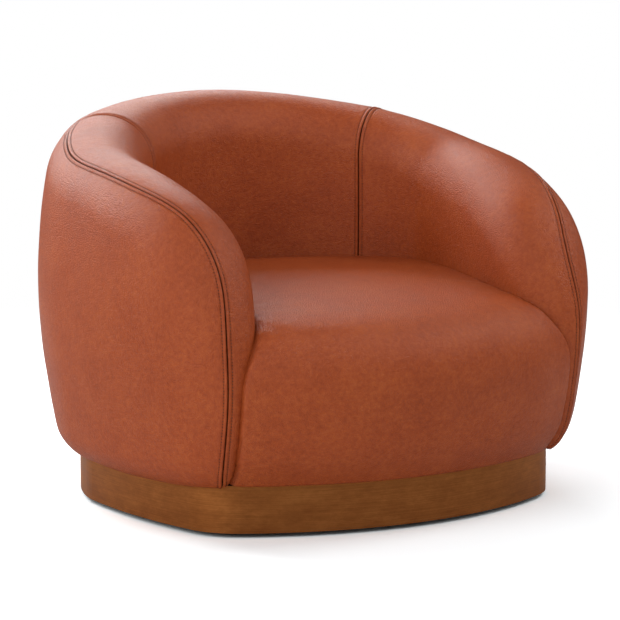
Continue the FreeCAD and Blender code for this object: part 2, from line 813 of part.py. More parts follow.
FRONT_PAD = size("seat_front_padding")
RAIL = size("rail_thickness")
BOX_LOW = BASE + SEAT_GAP
BOX_HIGH = BOX_LOW + size("seat_box_height")
frame_room = prism(-FRONT_PAD + SEAT_GAP, BASE - SEAT_GAP, DECK)
feature("seat_foam", largest(between_walls(seat_loft(seat_body)).cut(frame_room)))

# Seat box: a front rail sawn to the bow, straight side and back rails, blocks in the corners

HALF_BOX = size("seat_box_half_width")
front_limit = Part.makeBox(2 * HALF_BOX, size("plinth_front_depth"), BOX_HIGH)
front_limit.translate(Vector(-HALF_BOX, -size("plinth_front_depth"), 0))
front_rail = prism(-FRONT_PAD, BOX_LOW, BOX_HIGH).cut(prism(-FRONT_PAD - RAIL, BOX_LOW, BOX_HIGH))
feature("seat_front_rail", largest(front_rail.common(front_limit)))
behind_front_rail = prism(-FRONT_PAD - RAIL - SEAT_GAP, BOX_LOW, BOX_HIGH)
BOX_BACK = size("seat_box_back")
side_rail = Part.makeBox(RAIL, BOX_BACK + size("plinth_front_depth"), BOX_HIGH - BOX_LOW)
side_rail.translate(Vector(HALF_BOX - RAIL, -size("plinth_front_depth"), BOX_LOW))
side_rail = side_rail.common(behind_front_rail)
feature("seat_side_rails", Part.makeCompound([side_rail, mirrored(side_rail)]))
back_rail = DOC.addObject("Part::Box", "SeatBackRail")
back_rail.setExpression("Length",
                        "2 * (Sizes.seat_box_half_width - Sizes.rail_thickness - Sizes.seating_gap)")
back_rail.setExpression("Width", "Sizes.rail_thickness")
back_rail.setExpression("Height", "Sizes.seat_box_height")
back_rail.setExpression("Placement.Base.x",
                        "-(Sizes.seat_box_half_width - Sizes.rail_thickness - Sizes.seating_gap)")
back_rail.setExpression("Placement.Base.y", "Sizes.seat_box_back - Sizes.rail_thickness")
back_rail.setExpression("Placement.Base.z", "Sizes.body_base_height + Sizes.seating_gap")
keep(back_rail, "seat_back_rail")

BLOCK = size("corner_block_size")
inside_x = HALF_BOX - RAIL - SEAT_GAP
inside_y = BOX_BACK - RAIL - SEAT_GAP
rear_block = Part.Face(Part.makePolygon([
    Vector(inside_x, inside_y, BOX_LOW), Vector(inside_x - BLOCK, inside_y, BOX_LOW),
    Vector(inside_x, inside_y - BLOCK, BOX_LOW), Vector(inside_x, inside_y, BOX_LOW)]))
rear_block = upright(rear_block.extrude(Vector(0, 0, size("seat_box_height"))))
front_corner = OUTLINE.front_y(inside_x, -FRONT_PAD - RAIL - SEAT_GAP)
front_block = Part.makeBox(BLOCK, BLOCK * 2, size("seat_box_height"))
front_block.translate(Vector(inside_x - BLOCK, front_corner - BLOCK, BOX_LOW))
front_block = front_block.common(behind_front_rail)
feature("seat_corner_blocks", Part.makeCompound([rear_block, mirrored(rear_block),
                                                 front_block, mirrored(front_block)]))

# Elastic webbing both ways over the box, and a felt between webbing and foam

WEB = size("webbing_width")
WEB_MARGIN = size("webbing_margin")
web_front = OUTLINE.front_y(HALF_BOX, -FRONT_PAD)
web_low = BOX_HIGH + SEAT_GAP
span = 2 * (HALF_BOX - WEB_MARGIN) - WEB
straps = []
for number in range(WEBBING_COUNT):
    strap = DOC.addObject("Part::Box", "LongWebbing%d" % (number + 1))
    strap.Length = WEB
    strap.Width = BOX_BACK - web_front
    strap.setExpression("Height", "Sizes.webbing_thickness")
    left = WEB_MARGIN - HALF_BOX + number * span / (WEBBING_COUNT - 1)
    strap.Placement = Placement(Vector(left, web_front, web_low), Rotation())
    straps.append(strap)
group = DOC.addObject("Part::Compound", "LongWebbing")
group.Links = straps
keep(group, "seat_webbing_long")
cross_low = web_low + size("webbing_thickness") + SEAT_GAP
span = BOX_BACK - web_front - 2 * WEB_MARGIN - WEB
straps = []
for number in range(WEBBING_COUNT):
    strap = DOC.addObject("Part::Box", "CrossWebbing%d" % (number + 1))
    strap.setExpression("Length", "2 * Sizes.seat_box_half_width")
    strap.Width = WEB
    strap.setExpression("Height", "Sizes.webbing_thickness")
    near = web_front + WEB_MARGIN + number * span / (WEBBING_COUNT - 1)
    strap.Placement = Placement(Vector(-HALF_BOX, near, cross_low), Rotation())
    straps.append(strap)
group = DOC.addObject("Part::Compound", "CrossWebbing")
group.Links = straps
keep(group, "seat_webbing_cross")
felt = DOC.addObject("Part::Box", "Felt")
felt.setExpression("Length", "2 * Sizes.seat_box_half_width")
felt.Width = BOX_BACK - web_front
felt.setExpression("Height", "Sizes.felt_thickness")
felt_low = DECK - SEAT_GAP - size("felt_thickness")
felt.Placement = Placement(Vector(-HALF_BOX, web_front, felt_low), Rotation())
keep(felt, "seat_felt")

# Plinth: a bronze band bent round a plywood core, with a rebated board on top

BAND = size("band_thickness")
CORE = size("core_thickness")
BOARD = size("board_thickness")
FLOOR_GAP = size("floor_gap")
PLINTH_TOP = size("plinth_top_height")
CORE_IN = -BAND - SEAT_GAP - CORE
LID_IN = CORE_IN - SEAT_GAP
feature("plinth_band", prism(0.0, FLOOR_GAP, PLINTH_TOP).cut(prism(-BAND, FLOOR_GAP, PLINTH_TOP)))
core_low = FLOOR_GAP + SEAT_GAP
core = prism(-BAND - SEAT_GAP, core_low, PLINTH_TOP)
feature("plinth_core", core.cut(straight_prism(CORE_IN, core_low, PLINTH_TOP)))
step = PLINTH_TOP + SEAT_GAP
lid = straight_prism(LID_IN, PLINTH_TOP - BOARD, step)
feature("tub_base_board", lid.fuse(prism(-size("reveal_setback"), step, BASE - SEAT_GAP)).removeSplitter())

# Swivel: turned plates and discs, each a revolved profile with its bolt holes

UPRIGHT_PLANE = "XZ_Plane"


def upright_sketch(body, name):
    """Sketch on the body's own upright plane, through the swivel axis."""
    sketch = body.newObject("Sketcher::SketchObject", name)
    for plane in body.Origin.OriginFeatures:
        if plane.Role == UPRIGHT_PLANE:
            sketch.AttachmentSupport = (plane, [""])
    sketch.MapMode = "FlatFace"
    return sketch


def level(formula):
    """Length that a formula of cells gives."""
    value = SHEET.evalExpression(formula.replace("Sizes.", ""))
    return float(getattr(value, "Value", value))


def bind(sketch, kind, geometry, point, formula):
    """Hold one coordinate of a sketch point to a formula of cells."""
    index = sketch.addConstraint(Sketcher.Constraint(kind, -1, 1, geometry, point, level(formula)))
    sketch.setExpression("Constraints[%d]" % index, formula)


def turned(label, places):
    """Body revolved about the swivel axis from places (radius, height) written as formulas."""
    body = DOC.addObject("PartDesign::Body", label)
    sketch = upright_sketch(body, label + "_profile")
    spots = [Vector(level(radius), level(height), 0) for radius, height in places]
    for first, second in zip(spots, spots[1:] + spots[:1]):
        sketch.addGeometry(Part.LineSegment(first, second))
    for number in range(len(places)):
        ahead = (number + 1) % len(places)
        sketch.addConstraint(Sketcher.Constraint("Coincident", number, 2, ahead, 1))
    for number, (radius, height) in enumerate(places):
        bind(sketch, "DistanceX", number, 1, radius)
        bind(sketch, "DistanceY", number, 1, height)
    turning = body.newObject("PartDesign::Revolution", label + "_turning")
    turning.Profile = sketch
    turning.ReferenceAxis = (sketch, ["V_Axis"])
    turning.Angle = 360.0
    body.Tip = turning
    DOC.recompute()
    return body


def ring_of(label, count, sides, ring, radius, low, height):
    """Equal upright prisms round the swivel axis; all lengths are formulas."""
    pieces = []
    for number in range(count):
        piece = DOC.addObject("Part::Prism", "%s%d" % (label, number + 1))
        piece.Polygon = sides
        piece.setExpression("Circumradius", radius)
        piece.setExpression("Height", height)
        angle = "%s deg" % (360.0 * number / count)
        piece.setExpression("Placement.Base.x", "%s * cos(%s)" % (ring, angle))
        piece.setExpression("Placement.Base.y", "%s * sin(%s)" % (ring, angle))
        piece.setExpression("Placement.Base.z", low)
        pieces.append(piece)
    return pieces


def grouped(label, pieces):
    """Compound of like pieces."""
    whole = DOC.addObject("Part::Compound", label)
    whole.Links = pieces
    return whole


def pierced(label, base, ring, low, height):
    """Base with a ring of bolt holes; all lengths are formulas."""
    tools = ring_of(label + "Hole", BOLT_COUNT, BOLT_SIDES, ring, HOLE, low, height)
    cut = DOC.addObject("Part::Cut", label)
    cut.Base = base
    cut.Tool = grouped(label + "Holes", tools)
    return keep(cut, label)


def bolt_ring(label, ring, shank_low, shank_length, head_low):
    """Ring of bolts, each a shank under a six-sided head; all lengths are formulas."""
    shanks = ring_of(label + "Shank", BOLT_COUNT, BOLT_SIDES, ring, "Sizes.bolt_radius", shank_low,
                     shank_length)
    heads = ring_of(label + "Head", BOLT_COUNT, BOLT_SIDES, ring, "Sizes.bolt_head_radius", head_low,
                    "Sizes.bolt_head_height")
    bolts = []
    for number, (shank, head) in enumerate(zip(shanks, heads), start=1):
        bolt = DOC.addObject("Part::Fuse", "%s%d" % (label, number))
        bolt.Base = shank
        bolt.Tool = head
        bolts.append(bolt)
    return keep(grouped(label, bolts), label)


HOLE = "Sizes.bolt_radius + Sizes.seating_gap"
Z_DISC = "Sizes.glide_height + Sizes.seating_gap"
Z_DISC_TOP = Z_DISC + " + Sizes.board_thickness"
Z_LOWER = Z_DISC_TOP + " + Sizes.seating_gap"
Z_LOWER_TOP = Z_LOWER + " + Sizes.plate_thickness"
Z_SLIDE = Z_LOWER_TOP + " + Sizes.seating_gap"
Z_UPPER = Z_SLIDE + " + Sizes.slide_ring_thickness + Sizes.seating_gap"
Z_UPPER_TOP = Z_UPPER + " + Sizes.plate_thickness"
Z_LIP = Z_UPPER_TOP + " + Sizes.hub_gap"
Z_LIP_TOP = Z_LIP + " + Sizes.hub_wall"
Z_DECK = Z_UPPER_TOP + " + Sizes.seating_gap"
Z_DECK_TOP = Z_DECK + " + Sizes.board_thickness"

floor_disc = turned("floor_disc_blank", [
    ("Sizes.plate_bore_radius", Z_DISC),
    ("Sizes.floor_disc_radius", Z_DISC),
    ("Sizes.floor_disc_radius", Z_DISC_TOP),
    ("Sizes.plate_bore_radius", Z_DISC_TOP),
])
pierced("floor_disc", floor_disc, "Sizes.lower_bolt_ring_radius", Z_DISC, "Sizes.board_thickness")
lower_plate = turned("swivel_lower_plate_blank", [
    ("Sizes.plate_bore_radius", Z_LOWER),
    ("Sizes.plate_radius", Z_LOWER),
    ("Sizes.plate_radius", Z_LOWER_TOP),
    ("Sizes.hub_radius", Z_LOWER_TOP),
    ("Sizes.hub_radius", Z_LIP),
    ("Sizes.hub_radius + Sizes.hub_lip_width", Z_LIP),
    ("Sizes.hub_radius + Sizes.hub_lip_width", Z_LIP_TOP),
    ("Sizes.hub_radius - Sizes.hub_wall", Z_LIP_TOP),
    ("Sizes.hub_radius - Sizes.hub_wall", Z_LOWER_TOP),
    ("Sizes.plate_bore_radius", Z_LOWER_TOP),
])
pierced("swivel_lower_plate", lower_plate, "Sizes.lower_bolt_ring_radius", Z_LOWER, "Sizes.plate_thickness")
slide_ring = turned("slide_ring", [
    ("Sizes.slide_ring_inner_radius", Z_SLIDE),
    ("Sizes.slide_ring_outer_radius", Z_SLIDE),
    ("Sizes.slide_ring_outer_radius", Z_SLIDE + " + Sizes.slide_ring_thickness"),
    ("Sizes.slide_ring_inner_radius", Z_SLIDE + " + Sizes.slide_ring_thickness"),
])
keep(slide_ring, "slide_ring")
upper_plate = turned("swivel_upper_plate_blank", [
    ("Sizes.hub_radius + Sizes.hub_gap", Z_UPPER),
    ("Sizes.plate_radius", Z_UPPER),
    ("Sizes.plate_radius", Z_UPPER_TOP),
    ("Sizes.hub_radius + Sizes.hub_gap", Z_UPPER_TOP),
])
pierced("swivel_upper_plate", upper_plate, "Sizes.upper_bolt_ring_radius", Z_UPPER, "Sizes.plate_thickness")
glides = ring_of("FloorGlide", GLIDE_COUNT, GLIDE_SIDES, "Sizes.glide_ring_radius", "Sizes.glide_radius",
                 "Sizes.floor_level", "Sizes.glide_height")
keep(grouped("floor_glides", glides), "floor_glides")
bolt_ring("lower_plate_bolts", "Sizes.lower_bolt_ring_radius", Z_SLIDE + " - Sizes.bolt_grip",
          "Sizes.bolt_grip", Z_SLIDE)
bolt_ring("upper_plate_bolts", "Sizes.upper_bolt_ring_radius", Z_UPPER + " + Sizes.seating_gap",
          "Sizes.plate_thickness + Sizes.board_thickness + Sizes.seating_gap",
          Z_DECK_TOP + " + Sizes.seating_gap")

# Deck board inside the plinth, with a bore for the hub, and cleats that carry the base board

deck_low = level(Z_DECK)
deck_high = level(Z_DECK_TOP)
bore_radius = size("hub_radius") + size("hub_lip_width") + size("board_bore_gap")
deck = straight_prism(LID_IN, deck_low, deck_high)
deck = deck.cut(Part.makeCylinder(bore_radius, BOARD, Vector(0, 0, deck_low)))
deck_blank = DOC.addObject("Part::Feature", "DeckBlank")
deck_blank.Shape = deck
pierced("swivel_deck", deck_blank, "Sizes.upper_bolt_ring_radius", Z_DECK, "Sizes.board_thickness")
cleat_low = deck_high + SEAT_GAP
cleat_high = PLINTH_TOP - BOARD - SEAT_GAP
cleats = []
for number in range(CLEAT_COUNT):
    cleat = Part.makeBox(size("cleat_size"), size("cleat_size"), cleat_high - cleat_low)
    cleat.translate(Vector(size("cleat_ring_radius"), -size("cleat_size") * ARC_MIDDLE_SHARE, cleat_low))
    cleat.rotate(Vector(0, 0, 0), Vector(0, 0, 1), 360.0 * number / CLEAT_COUNT)
    cleats.append(cleat)
feature("deck_cleats", Part.makeCompound(cleats))

# Check every object before anything is written

DOC.recompute()
for thing in DOC.Objects:
    if "Invalid" in thing.State or "Error" in thing.State:
        raise RuntimeError("%s did not compute" % thing.Label)
for thing in NODES:
    if thing.Shape.isNull() or not thing.Shape.isValid() or thing.Shape.Volume <= 0:
        raise RuntimeError("%s has no valid solid" % thing.Label)
os.makedirs("parts", exist_ok=True)
for thing in NODES:
    thing.Shape.exportStep("parts/%s.step" % thing.Label)
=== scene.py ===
"""Looks of a leather tub armchair with a rolled rim, a waterfall seat and a bronze plinth."""
import json
import logging
import math
from dataclasses import dataclass
from enum import Enum
from typing import Callable, Sequence

import bmesh
import bpy
import numpy as np
from mathutils import Matrix, Vector, noise
from mathutils.bvhtree import BVHTree


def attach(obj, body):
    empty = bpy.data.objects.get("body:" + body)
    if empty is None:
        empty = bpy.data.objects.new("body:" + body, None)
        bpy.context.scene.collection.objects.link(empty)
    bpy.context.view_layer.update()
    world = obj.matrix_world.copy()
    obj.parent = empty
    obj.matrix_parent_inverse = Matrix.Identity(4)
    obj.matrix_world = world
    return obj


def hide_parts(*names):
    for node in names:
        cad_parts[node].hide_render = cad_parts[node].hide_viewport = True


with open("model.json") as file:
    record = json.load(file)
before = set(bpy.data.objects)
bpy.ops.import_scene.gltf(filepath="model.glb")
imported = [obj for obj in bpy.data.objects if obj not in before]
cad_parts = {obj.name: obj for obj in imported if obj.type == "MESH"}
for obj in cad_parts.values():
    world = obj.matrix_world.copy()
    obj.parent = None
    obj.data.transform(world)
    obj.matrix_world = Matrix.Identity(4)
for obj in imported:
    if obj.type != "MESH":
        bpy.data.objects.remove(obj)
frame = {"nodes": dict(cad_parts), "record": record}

LOG = logging.getLogger("armchair")
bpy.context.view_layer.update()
MM = 0.001
MIRROR = np.array((-1.0, 1.0, 1.0))
HALVINGS = 44
TINY = 1e-6
HIDE_THICKNESS = 2.0
# How far the leather's lower edge turns under the foot, and how far it hangs below it in front
UNDER_TURN = 5.0
FRONT_SAG = 3.5
# Wave lengths of the broad and the narrow swells of the padding
SWELL_WAVES = (150.0, 60.0)
# Distances from a seam at which the leather has a row of points, and its heights there and beyond
SEAM_LADDER = (0.0, 0.4, 0.9, 1.6, 2.5, 3.6, 4.8, 6.0, 6.8, 7.4, 8.1, 9.2, 11.0, 13.5, 17.0, 22.0)
# A panel narrower than this many ladders squeezes them
LADDER_ROOM = 1.6
RELIEF_PLACES = SEAM_LADDER[:-1] + (24.0, 34.0)
RELIEF = (-2.6, -1.2, 0.1, 1.1, 1.75, 1.8, 1.3, 0.5, 0.0, -0.15, 0.0, 0.4, 0.6, 0.5, 0.3, 0.1, 0.0)


class Side(Enum):
    """The two sides of the chair, seen from the front, as the sign of X."""

    RIGHT = 1
    LEFT = -1


class Stretch(Enum):
    """Which stretch of the wall a leather panel covers, across its section."""

    OUTER = "outer"
    INNER = "inner"


# ---------------------------------------------------------------- form of the tub

def cos_sin(turn: float) -> tuple:
    """Cosine and sine of a turn in degrees."""
    return math.cos(math.radians(turn)), math.sin(math.radians(turn))


def curve_through(values: np.ndarray, at: np.ndarray) -> np.ndarray:
    """Smooth curve through values at 0, 1, 2 and so on.

    Args:
        values: the values that the curve passes through.
        at: places along the curve.

    Returns:
        The curve's value at each place.
    """
    slopes = np.gradient(values)
    low = np.clip(at.astype(int), 0, len(values) - 2)
    high = low + 1
    t = at - low
    return ((2 * t ** 3 - 3 * t ** 2 + 1) * values[low] + (t ** 3 - 2 * t ** 2 + t) * slopes[low]
            + (3 * t ** 2 - 2 * t ** 3) * values[high] + (t ** 3 - t ** 2) * slopes[high])


def last_inside(inside: np.ndarray, outside: np.ndarray, is_out: Callable) -> np.ndarray:
    """Places where ways out of a form cross its surface, found by halving.

    Args:
        inside: places inside the form.
        outside: places outside it.
        is_out: says which places are outside.

    Returns:
        The last places inside.
    """
    for _ in range(HALVINGS):
        middle = (inside + outside) / 2
        out = is_out(middle)
        outside, inside = np.where(out, middle, outside), np.where(out, inside, middle)
    return inside


@dataclass
class TubForm:
    """Surface of the padded wall, in millimetres, from the same sizes as its frame."""

    half_width: float = 395.0
    front_depth: float = 430.0
    back_depth: float = 351.0
    corner_radius: float = 118.0
    shift: float = 36.7
    base: float = 90.0
    arm_rim: float = 610.5
    back_rim: float = 699.0
    overhang: float = 8.0
    tuck_radius: float = 60.0
    belly_radius: float = 1093.0
    rim_radius: float = 90.0
    wall_foot: float = 165.0
    toe_foot: float = 99.0
    fan_reach: float = 150.0
    # Turns of the plan's arcs, then those of the tuck's ends from straight down, in degrees
    side_turn: float = 16.8
    front_turn: float = 28.8
    rear_turn: float = 11.1
    foot_turn: float = 25.0
    join_turn: float = 77.0
    # How hollow the inner face is on the wall and at the toe, in degrees
    hollow: float = 5.0
    toe_hollow: float = 1.5
    # Sections down the arm, toe first: tilt, foot forward share, rim share, lean, seam turn, toe share
    arm_rows: tuple = (
        (90.0, 0.570, 0.067, 135.8, 7.9, 1.0), (86.0, 0.542, 0.122, 130.6, 6.4, 0.89),
        (80.0, 0.502, 0.18, 125.0, 7.5, 0.75), (73.0, 0.460, 0.22, 119.6, 8.0, 0.58),
        (65.0, 0.412, 0.27, 114.5, 11.0, 0.38), (56.0, 0.356, 0.36, 109.9, 14.0, 0.13),
        (47.0, 0.302, 0.58, 110.1, 38.0, 0.0), (38.0, 0.247, 0.84, 113.0, 70.0, 0.0),
        (28.0, 0.181, 0.978, 113.3, 67.5, 0.0), (18.0, 0.112, 1.0, 114.3, 55.0, 0.0),
        (9.0, 0.051, 1.0, 114.7, 49.0, 0.0),
    )
    # Sections round the back: share of the way, share of the rise of the rim
    back_rows: tuple = ((0.0, 0.0), (0.12, 0.215), (0.25, 0.425), (0.371, 0.595), (0.47, 0.695),
                        (0.57, 0.785), (0.68, 0.87), (0.79, 0.937), (0.895, 0.98), (1.0, 1.0))
    corner_place: float = 14.0
    back_seam_turn: float = 45.5
    # Points of a profile: up the belly, round the rim to its seam and past it, down the inner face
    belly_points: int = 72
    outer_rim_points: int = 30
    inner_rim_points: int = 50
    inner_face_points: int = 40
    # Profiles that are worked out, the lane low on the belly, and the spacing of the smoothed ones
    profiles: int = 420
    belly_lane: int = 30
    spacing: float = 4.0
    iron_spread: float = 34.0
    iron_fade: float = 90.0
    # A reach and a distance beyond any part of the wall, and a nudge in degrees
    beyond_side: float = 200.0
    beyond_belly: float = 900.0
    nudge: float = 0.05

    def __post_init__(self) -> None:
        """Works out the arcs of the plan outline and of the belly."""
        cs, sn = cos_sin(self.side_turn)
        cf, sf = cos_sin(self.front_turn)
        cr, sr = cos_sin(self.rear_turn)
        side, bow = np.linalg.solve(((1 - cs, sf), (sn, 1 - cf)), (
            self.half_width - self.corner_radius * (cs - sf),
            self.front_depth - self.corner_radius * (cf - sn)))
        shoulder, rear = np.linalg.solve(((1 - cr, cr), (sr, 1 - sr)), (self.half_width, self.back_depth))
        self.bow = (0.0, bow - self.front_depth + self.shift, bow)
        self.corner = ((bow - self.corner_radius) * sf,
                       bow - self.front_depth - (bow - self.corner_radius) * cf + self.shift,
                       self.corner_radius)
        self.side = (self.half_width - side, self.shift, side)
        self.shoulder = (self.half_width - shoulder, self.shift, shoulder)
        self.rear = (0.0, self.back_depth - rear + self.shift, rear)
        foot_cos, foot_sin = cos_sin(self.foot_turn)
        join_cos, join_sin = cos_sin(self.join_turn)
        self.tuck_reach = self.overhang - self.tuck_radius * foot_sin
        self.tuck_height = self.base + self.tuck_radius * foot_cos
        self.join_height = self.tuck_height - self.tuck_radius * join_cos
        self.belly_reach = self.tuck_reach + self.tuck_radius * join_sin - self.belly_radius * join_sin
        self.belly_height = self.join_height + self.belly_radius * join_cos
        self._prepare_rows()
        self._smooth_run()

    def distance(self, x: np.ndarray, y: np.ndarray) -> np.ndarray:
        """Distance outside the plan outline.

        Args:
            x: places along X.
            y: places along Y.

        Returns:
            The distances, negative inside the outline.
        """
        x = np.abs(x)

        def off(arc: tuple) -> np.ndarray:
            """Distance outside one arc."""
            return np.hypot(x - arc[0], y - arc[1]) - arc[2]

        def angle(arc: tuple) -> np.ndarray:
            """Direction from an arc's centre, in degrees."""
            return np.degrees(np.arctan2(y - arc[1], x - arc[0]))

        rear = np.where(angle(self.shoulder) > self.rear_turn, off(self.rear), off(self.shoulder))
        nose = np.where(angle(self.corner) < self.front_turn - 90.0, off(self.bow), off(self.corner))
        front = np.where(angle(self.side) < -self.side_turn, nose, off(self.side))
        return np.where(y >= self.shift, rear, front)

    def reach(self, z: np.ndarray) -> np.ndarray:
        """Reach of the belly beyond the plan outline, by height.

        Args:
            z: heights.

        Returns:
            The reach at each height.
        """
        low = np.clip(z, self.base, self.join_height) - self.tuck_height
        tuck = self.tuck_reach + np.sqrt(self.tuck_radius ** 2 - low ** 2)
        high = np.clip(z - self.belly_height, -self.belly_radius, self.belly_radius)
        belly = self.belly_reach + np.sqrt(self.belly_radius ** 2 - high ** 2)
        return np.where(z < self.join_height, tuck, belly)

    def front_y(self, x: np.ndarray, outset: np.ndarray) -> np.ndarray:
        """Y of the front outline, moved out by outset.

        Args:
            x: places along X.
            outset: how far the outline is moved out.

        Returns:
            The outline's Y at each place.
        """
        x = np.abs(x)
        bow, corner = self.bow[2] + outset, self.corner[2] + outset
        near = np.sqrt(np.maximum(bow ** 2 - x ** 2, 0.0))
        far = np.sqrt(np.maximum(corner ** 2 - (x - self.corner[0]) ** 2, 0.0))
        return np.where(x <= bow * cos_sin(self.front_turn)[1], self.bow[1] - near, self.corner[1] - far)

    def _prepare_rows(self) -> None:
        """Brings the arm's and the back's sections into one run of rows."""
        columns = [list(row) + [0.0] for row in self.arm_rows]
        for share, rise in self.back_rows:
            top = self.arm_rim + rise * (self.back_rim - self.arm_rim)
            inner = self.belly_radius - self.rim_radius
            up = top - self.rim_radius - self.belly_height
            run = math.sqrt(inner ** 2 - up ** 2)
            reach = self.belly_reach + self.belly_radius * run / inner
            height = self.belly_height + self.belly_radius * up / inner
            lean = math.degrees(math.atan2(height - self.base, self.overhang - reach - self.fan_reach))
            columns.append([0.0, 0.0, 1.0, lean, self.back_seam_turn, 0.0, share])
        self.rows = np.array(columns).T

    def _smooth_run(self) -> None:
        """Lays the profiles evenly along one run, toe to mid-back, and irons out their steps."""
        at = np.linspace(0, self.rows.shape[1] - 1.0, self.profiles)
        raw = self._sections(at)
        self.seam = self.belly_points + self.outer_rim_points - 2
        steps = np.maximum(*(np.linalg.norm(np.diff(raw[:, lane], axis=0), axis=1)
                             for lane in (self.seam, self.belly_lane)))
        places = np.concatenate([[0.0], np.cumsum(steps)])
        self.run = np.arange(0.0, places[-1], self.spacing)
        self.run = self.run * places[-1] / self.run[-1]
        self.spacing = self.run[1]
        self.corner_run = float(np.interp(self.corner_place, at, places))
        rows = np.interp(self.run, places, np.arange(len(places)))
        low = np.clip(rows.astype(int), 0, len(places) - 2)
        share = (rows - low)[:, None, None]
        self.table = self._iron(self._iron(raw[low] * (1 - share) + raw[low + 1] * share))

    def _iron(self, table: np.ndarray) -> np.ndarray:
        """One smoothing along the run that keeps its broad curves and both its ends.

        Args:
            table: points of every profile along the run.

        Returns:
            The smoothed points.
        """
        count, spread = len(table), self.iron_spread / self.spacing
        reach = int(3 * spread)
        kernel = np.exp(-0.5 * (np.arange(-reach, reach + 1) / spread) ** 2)
        kernel /= kernel.sum()

        def blur(rows: np.ndarray) -> np.ndarray:
            """Weighted mean along the run.

            Args:
                rows: points of every profile.

            Returns:
                Their means.
            """
            toe = 2 * rows[:1] - rows[1:reach + 1][::-1]
            back = rows[-reach - 1:-1][::-1] * MIRROR
            padded = np.concatenate([toe, rows, back])
            return sum(weight * padded[number:number + count] for number, weight in enumerate(kernel))

        once = blur(table)
        smooth = 2 * once - blur(once)
        fade = np.clip(np.arange(count) * self.spacing / self.iron_fade, 0, 1)[:, None, None]
        return table + (smooth - table) * fade

    def along(self, places: np.ndarray) -> np.ndarray:
        """Points of the smoothed profiles, each lane at its own places along the run.

        Args:
            places: one row of places for each station, with one for each lane.

        Returns:
            The points, and last the inward directions.
        """
        rows = np.clip(places / self.spacing, 0, len(self.table) - 1 - TINY)
        low = rows.astype(int)
        share = (rows - low)[..., None]
        lanes = np.arange(self.table.shape[1])
        return self.table[low, lanes] * (1 - share) + self.table[low + 1, lanes] * share

    def _feet(self, share: np.ndarray, forward: np.ndarray) -> tuple:
        """Feet of the profiles, and the directions in which their planes run inward.

        Args:
            share: share of the way round the back.
            forward: how far forward an arm's foot lies, as a share of the depth.

        Returns:
            The feet and the directions.
        """
        near_turn, level = math.radians(self.rear_turn), np.zeros(len(share))
        near, far = near_turn * self.shoulder[2], math.radians(90.0 - self.rear_turn) * self.rear[2]
        run = np.clip(share, 0.0, 1.0) * (near + far)
        first = run <= near
        turned = np.where(first, run / self.shoulder[2], near_turn + (run - near) / self.rear[2])
        x, y, radius = (np.where(first, *arcs)[:, None] for arcs in zip(self.shoulder, self.rear))
        outward = np.stack([np.cos(turned), np.sin(turned), level], 1)
        foot = np.hstack([x, y, level[:, None] + self.base]) + (radius + self.overhang) * outward
        arm_y = self.shift - forward * self.front_depth

        def is_out(place: np.ndarray) -> np.ndarray:
            """Whether places beside the arms' feet lie outside the overhang."""
            return self.distance(place, arm_y) > self.overhang

        arm_x = last_inside(level, level + self.half_width + self.beyond_side, is_out)
        arm = forward > TINY
        foot[arm, :2] = np.stack([arm_x, arm_y], 1)[arm]
        outward[arm] = (1.0, 0.0, 0.0)
        return foot, -outward

    def _sections(self, at: np.ndarray) -> np.ndarray:
        """Profiles of the wall at places along the run from the arm's toe to the middle of the back.

        Args:
            at: places along the run, in rows.

        Returns:
            The points of every profile, with its inward direction as the last.
        """
        tilt, forward, nose, lean, seam, toe, share = (curve_through(row, at) for row in self.rows)
        nose, seam, toe = nose * self.rim_radius, np.radians(seam), np.clip(toe, 0.0, 1.0)
        tilt = np.radians(np.clip(tilt, 0.0, 90.0))
        foot, inward = self._feet(share, np.maximum(forward, 0.0))
        upward = np.stack([0 * tilt, -np.sin(tilt), np.cos(tilt)], 1)

        def spot(u: np.ndarray, v: np.ndarray) -> np.ndarray:
            """Points in space of places in the planes of the profiles."""
            return foot[:, None] + inward[:, None] * u[..., None] + upward[:, None] * v[..., None]

        def walk(fans: np.ndarray) -> tuple:
            """Places on the belly seen from the middle of the foot, at angles in degrees.

            Args:
                fans: the angles, one row for each profile.

            Returns:
                The places across and up each profile.
            """
            cos, sin = np.cos(np.radians(fans)), np.sin(np.radians(fans))

            def is_out(away: np.ndarray) -> np.ndarray:
                """Whether places at these distances lie outside the belly."""
                point = spot(self.fan_reach + away * cos, away * sin)
                return self.distance(point[..., 0], point[..., 1]) > self.reach(point[..., 2])

            away = last_inside(0 * fans, 0 * fans + self.beyond_belly, is_out)
            return self.fan_reach + away * cos, away * sin

        fans = lean[:, None] + (180.0 - lean)[:, None] * (1 - np.linspace(0, 1, self.belly_points))
        belly_u, belly_v = walk(fans)
        before, after = walk(lean[:, None] + self.nudge), walk(lean[:, None] - self.nudge)
        along_u, along_v = (after[0] - before[0])[:, 0], (after[1] - before[1])[:, 0]
        size = np.hypot(along_u, along_v)
        normal_u, normal_v = -along_v / size, along_u / size
        centre_u, centre_v = belly_u[:, -1] - normal_u * nose, belly_v[:, -1] - normal_v * nose
        start = np.arctan2(normal_v, normal_u)
        width = self.wall_foot + toe * (self.toe_foot - self.wall_foot)
        hollow = np.radians(self.hollow + toe * (self.toe_hollow - self.hollow))
        across = width - centre_u
        touch = np.arccos(nose / np.hypot(across, centre_v)) - np.arctan2(centre_v, across)
        nose_turn = start - touch + hollow

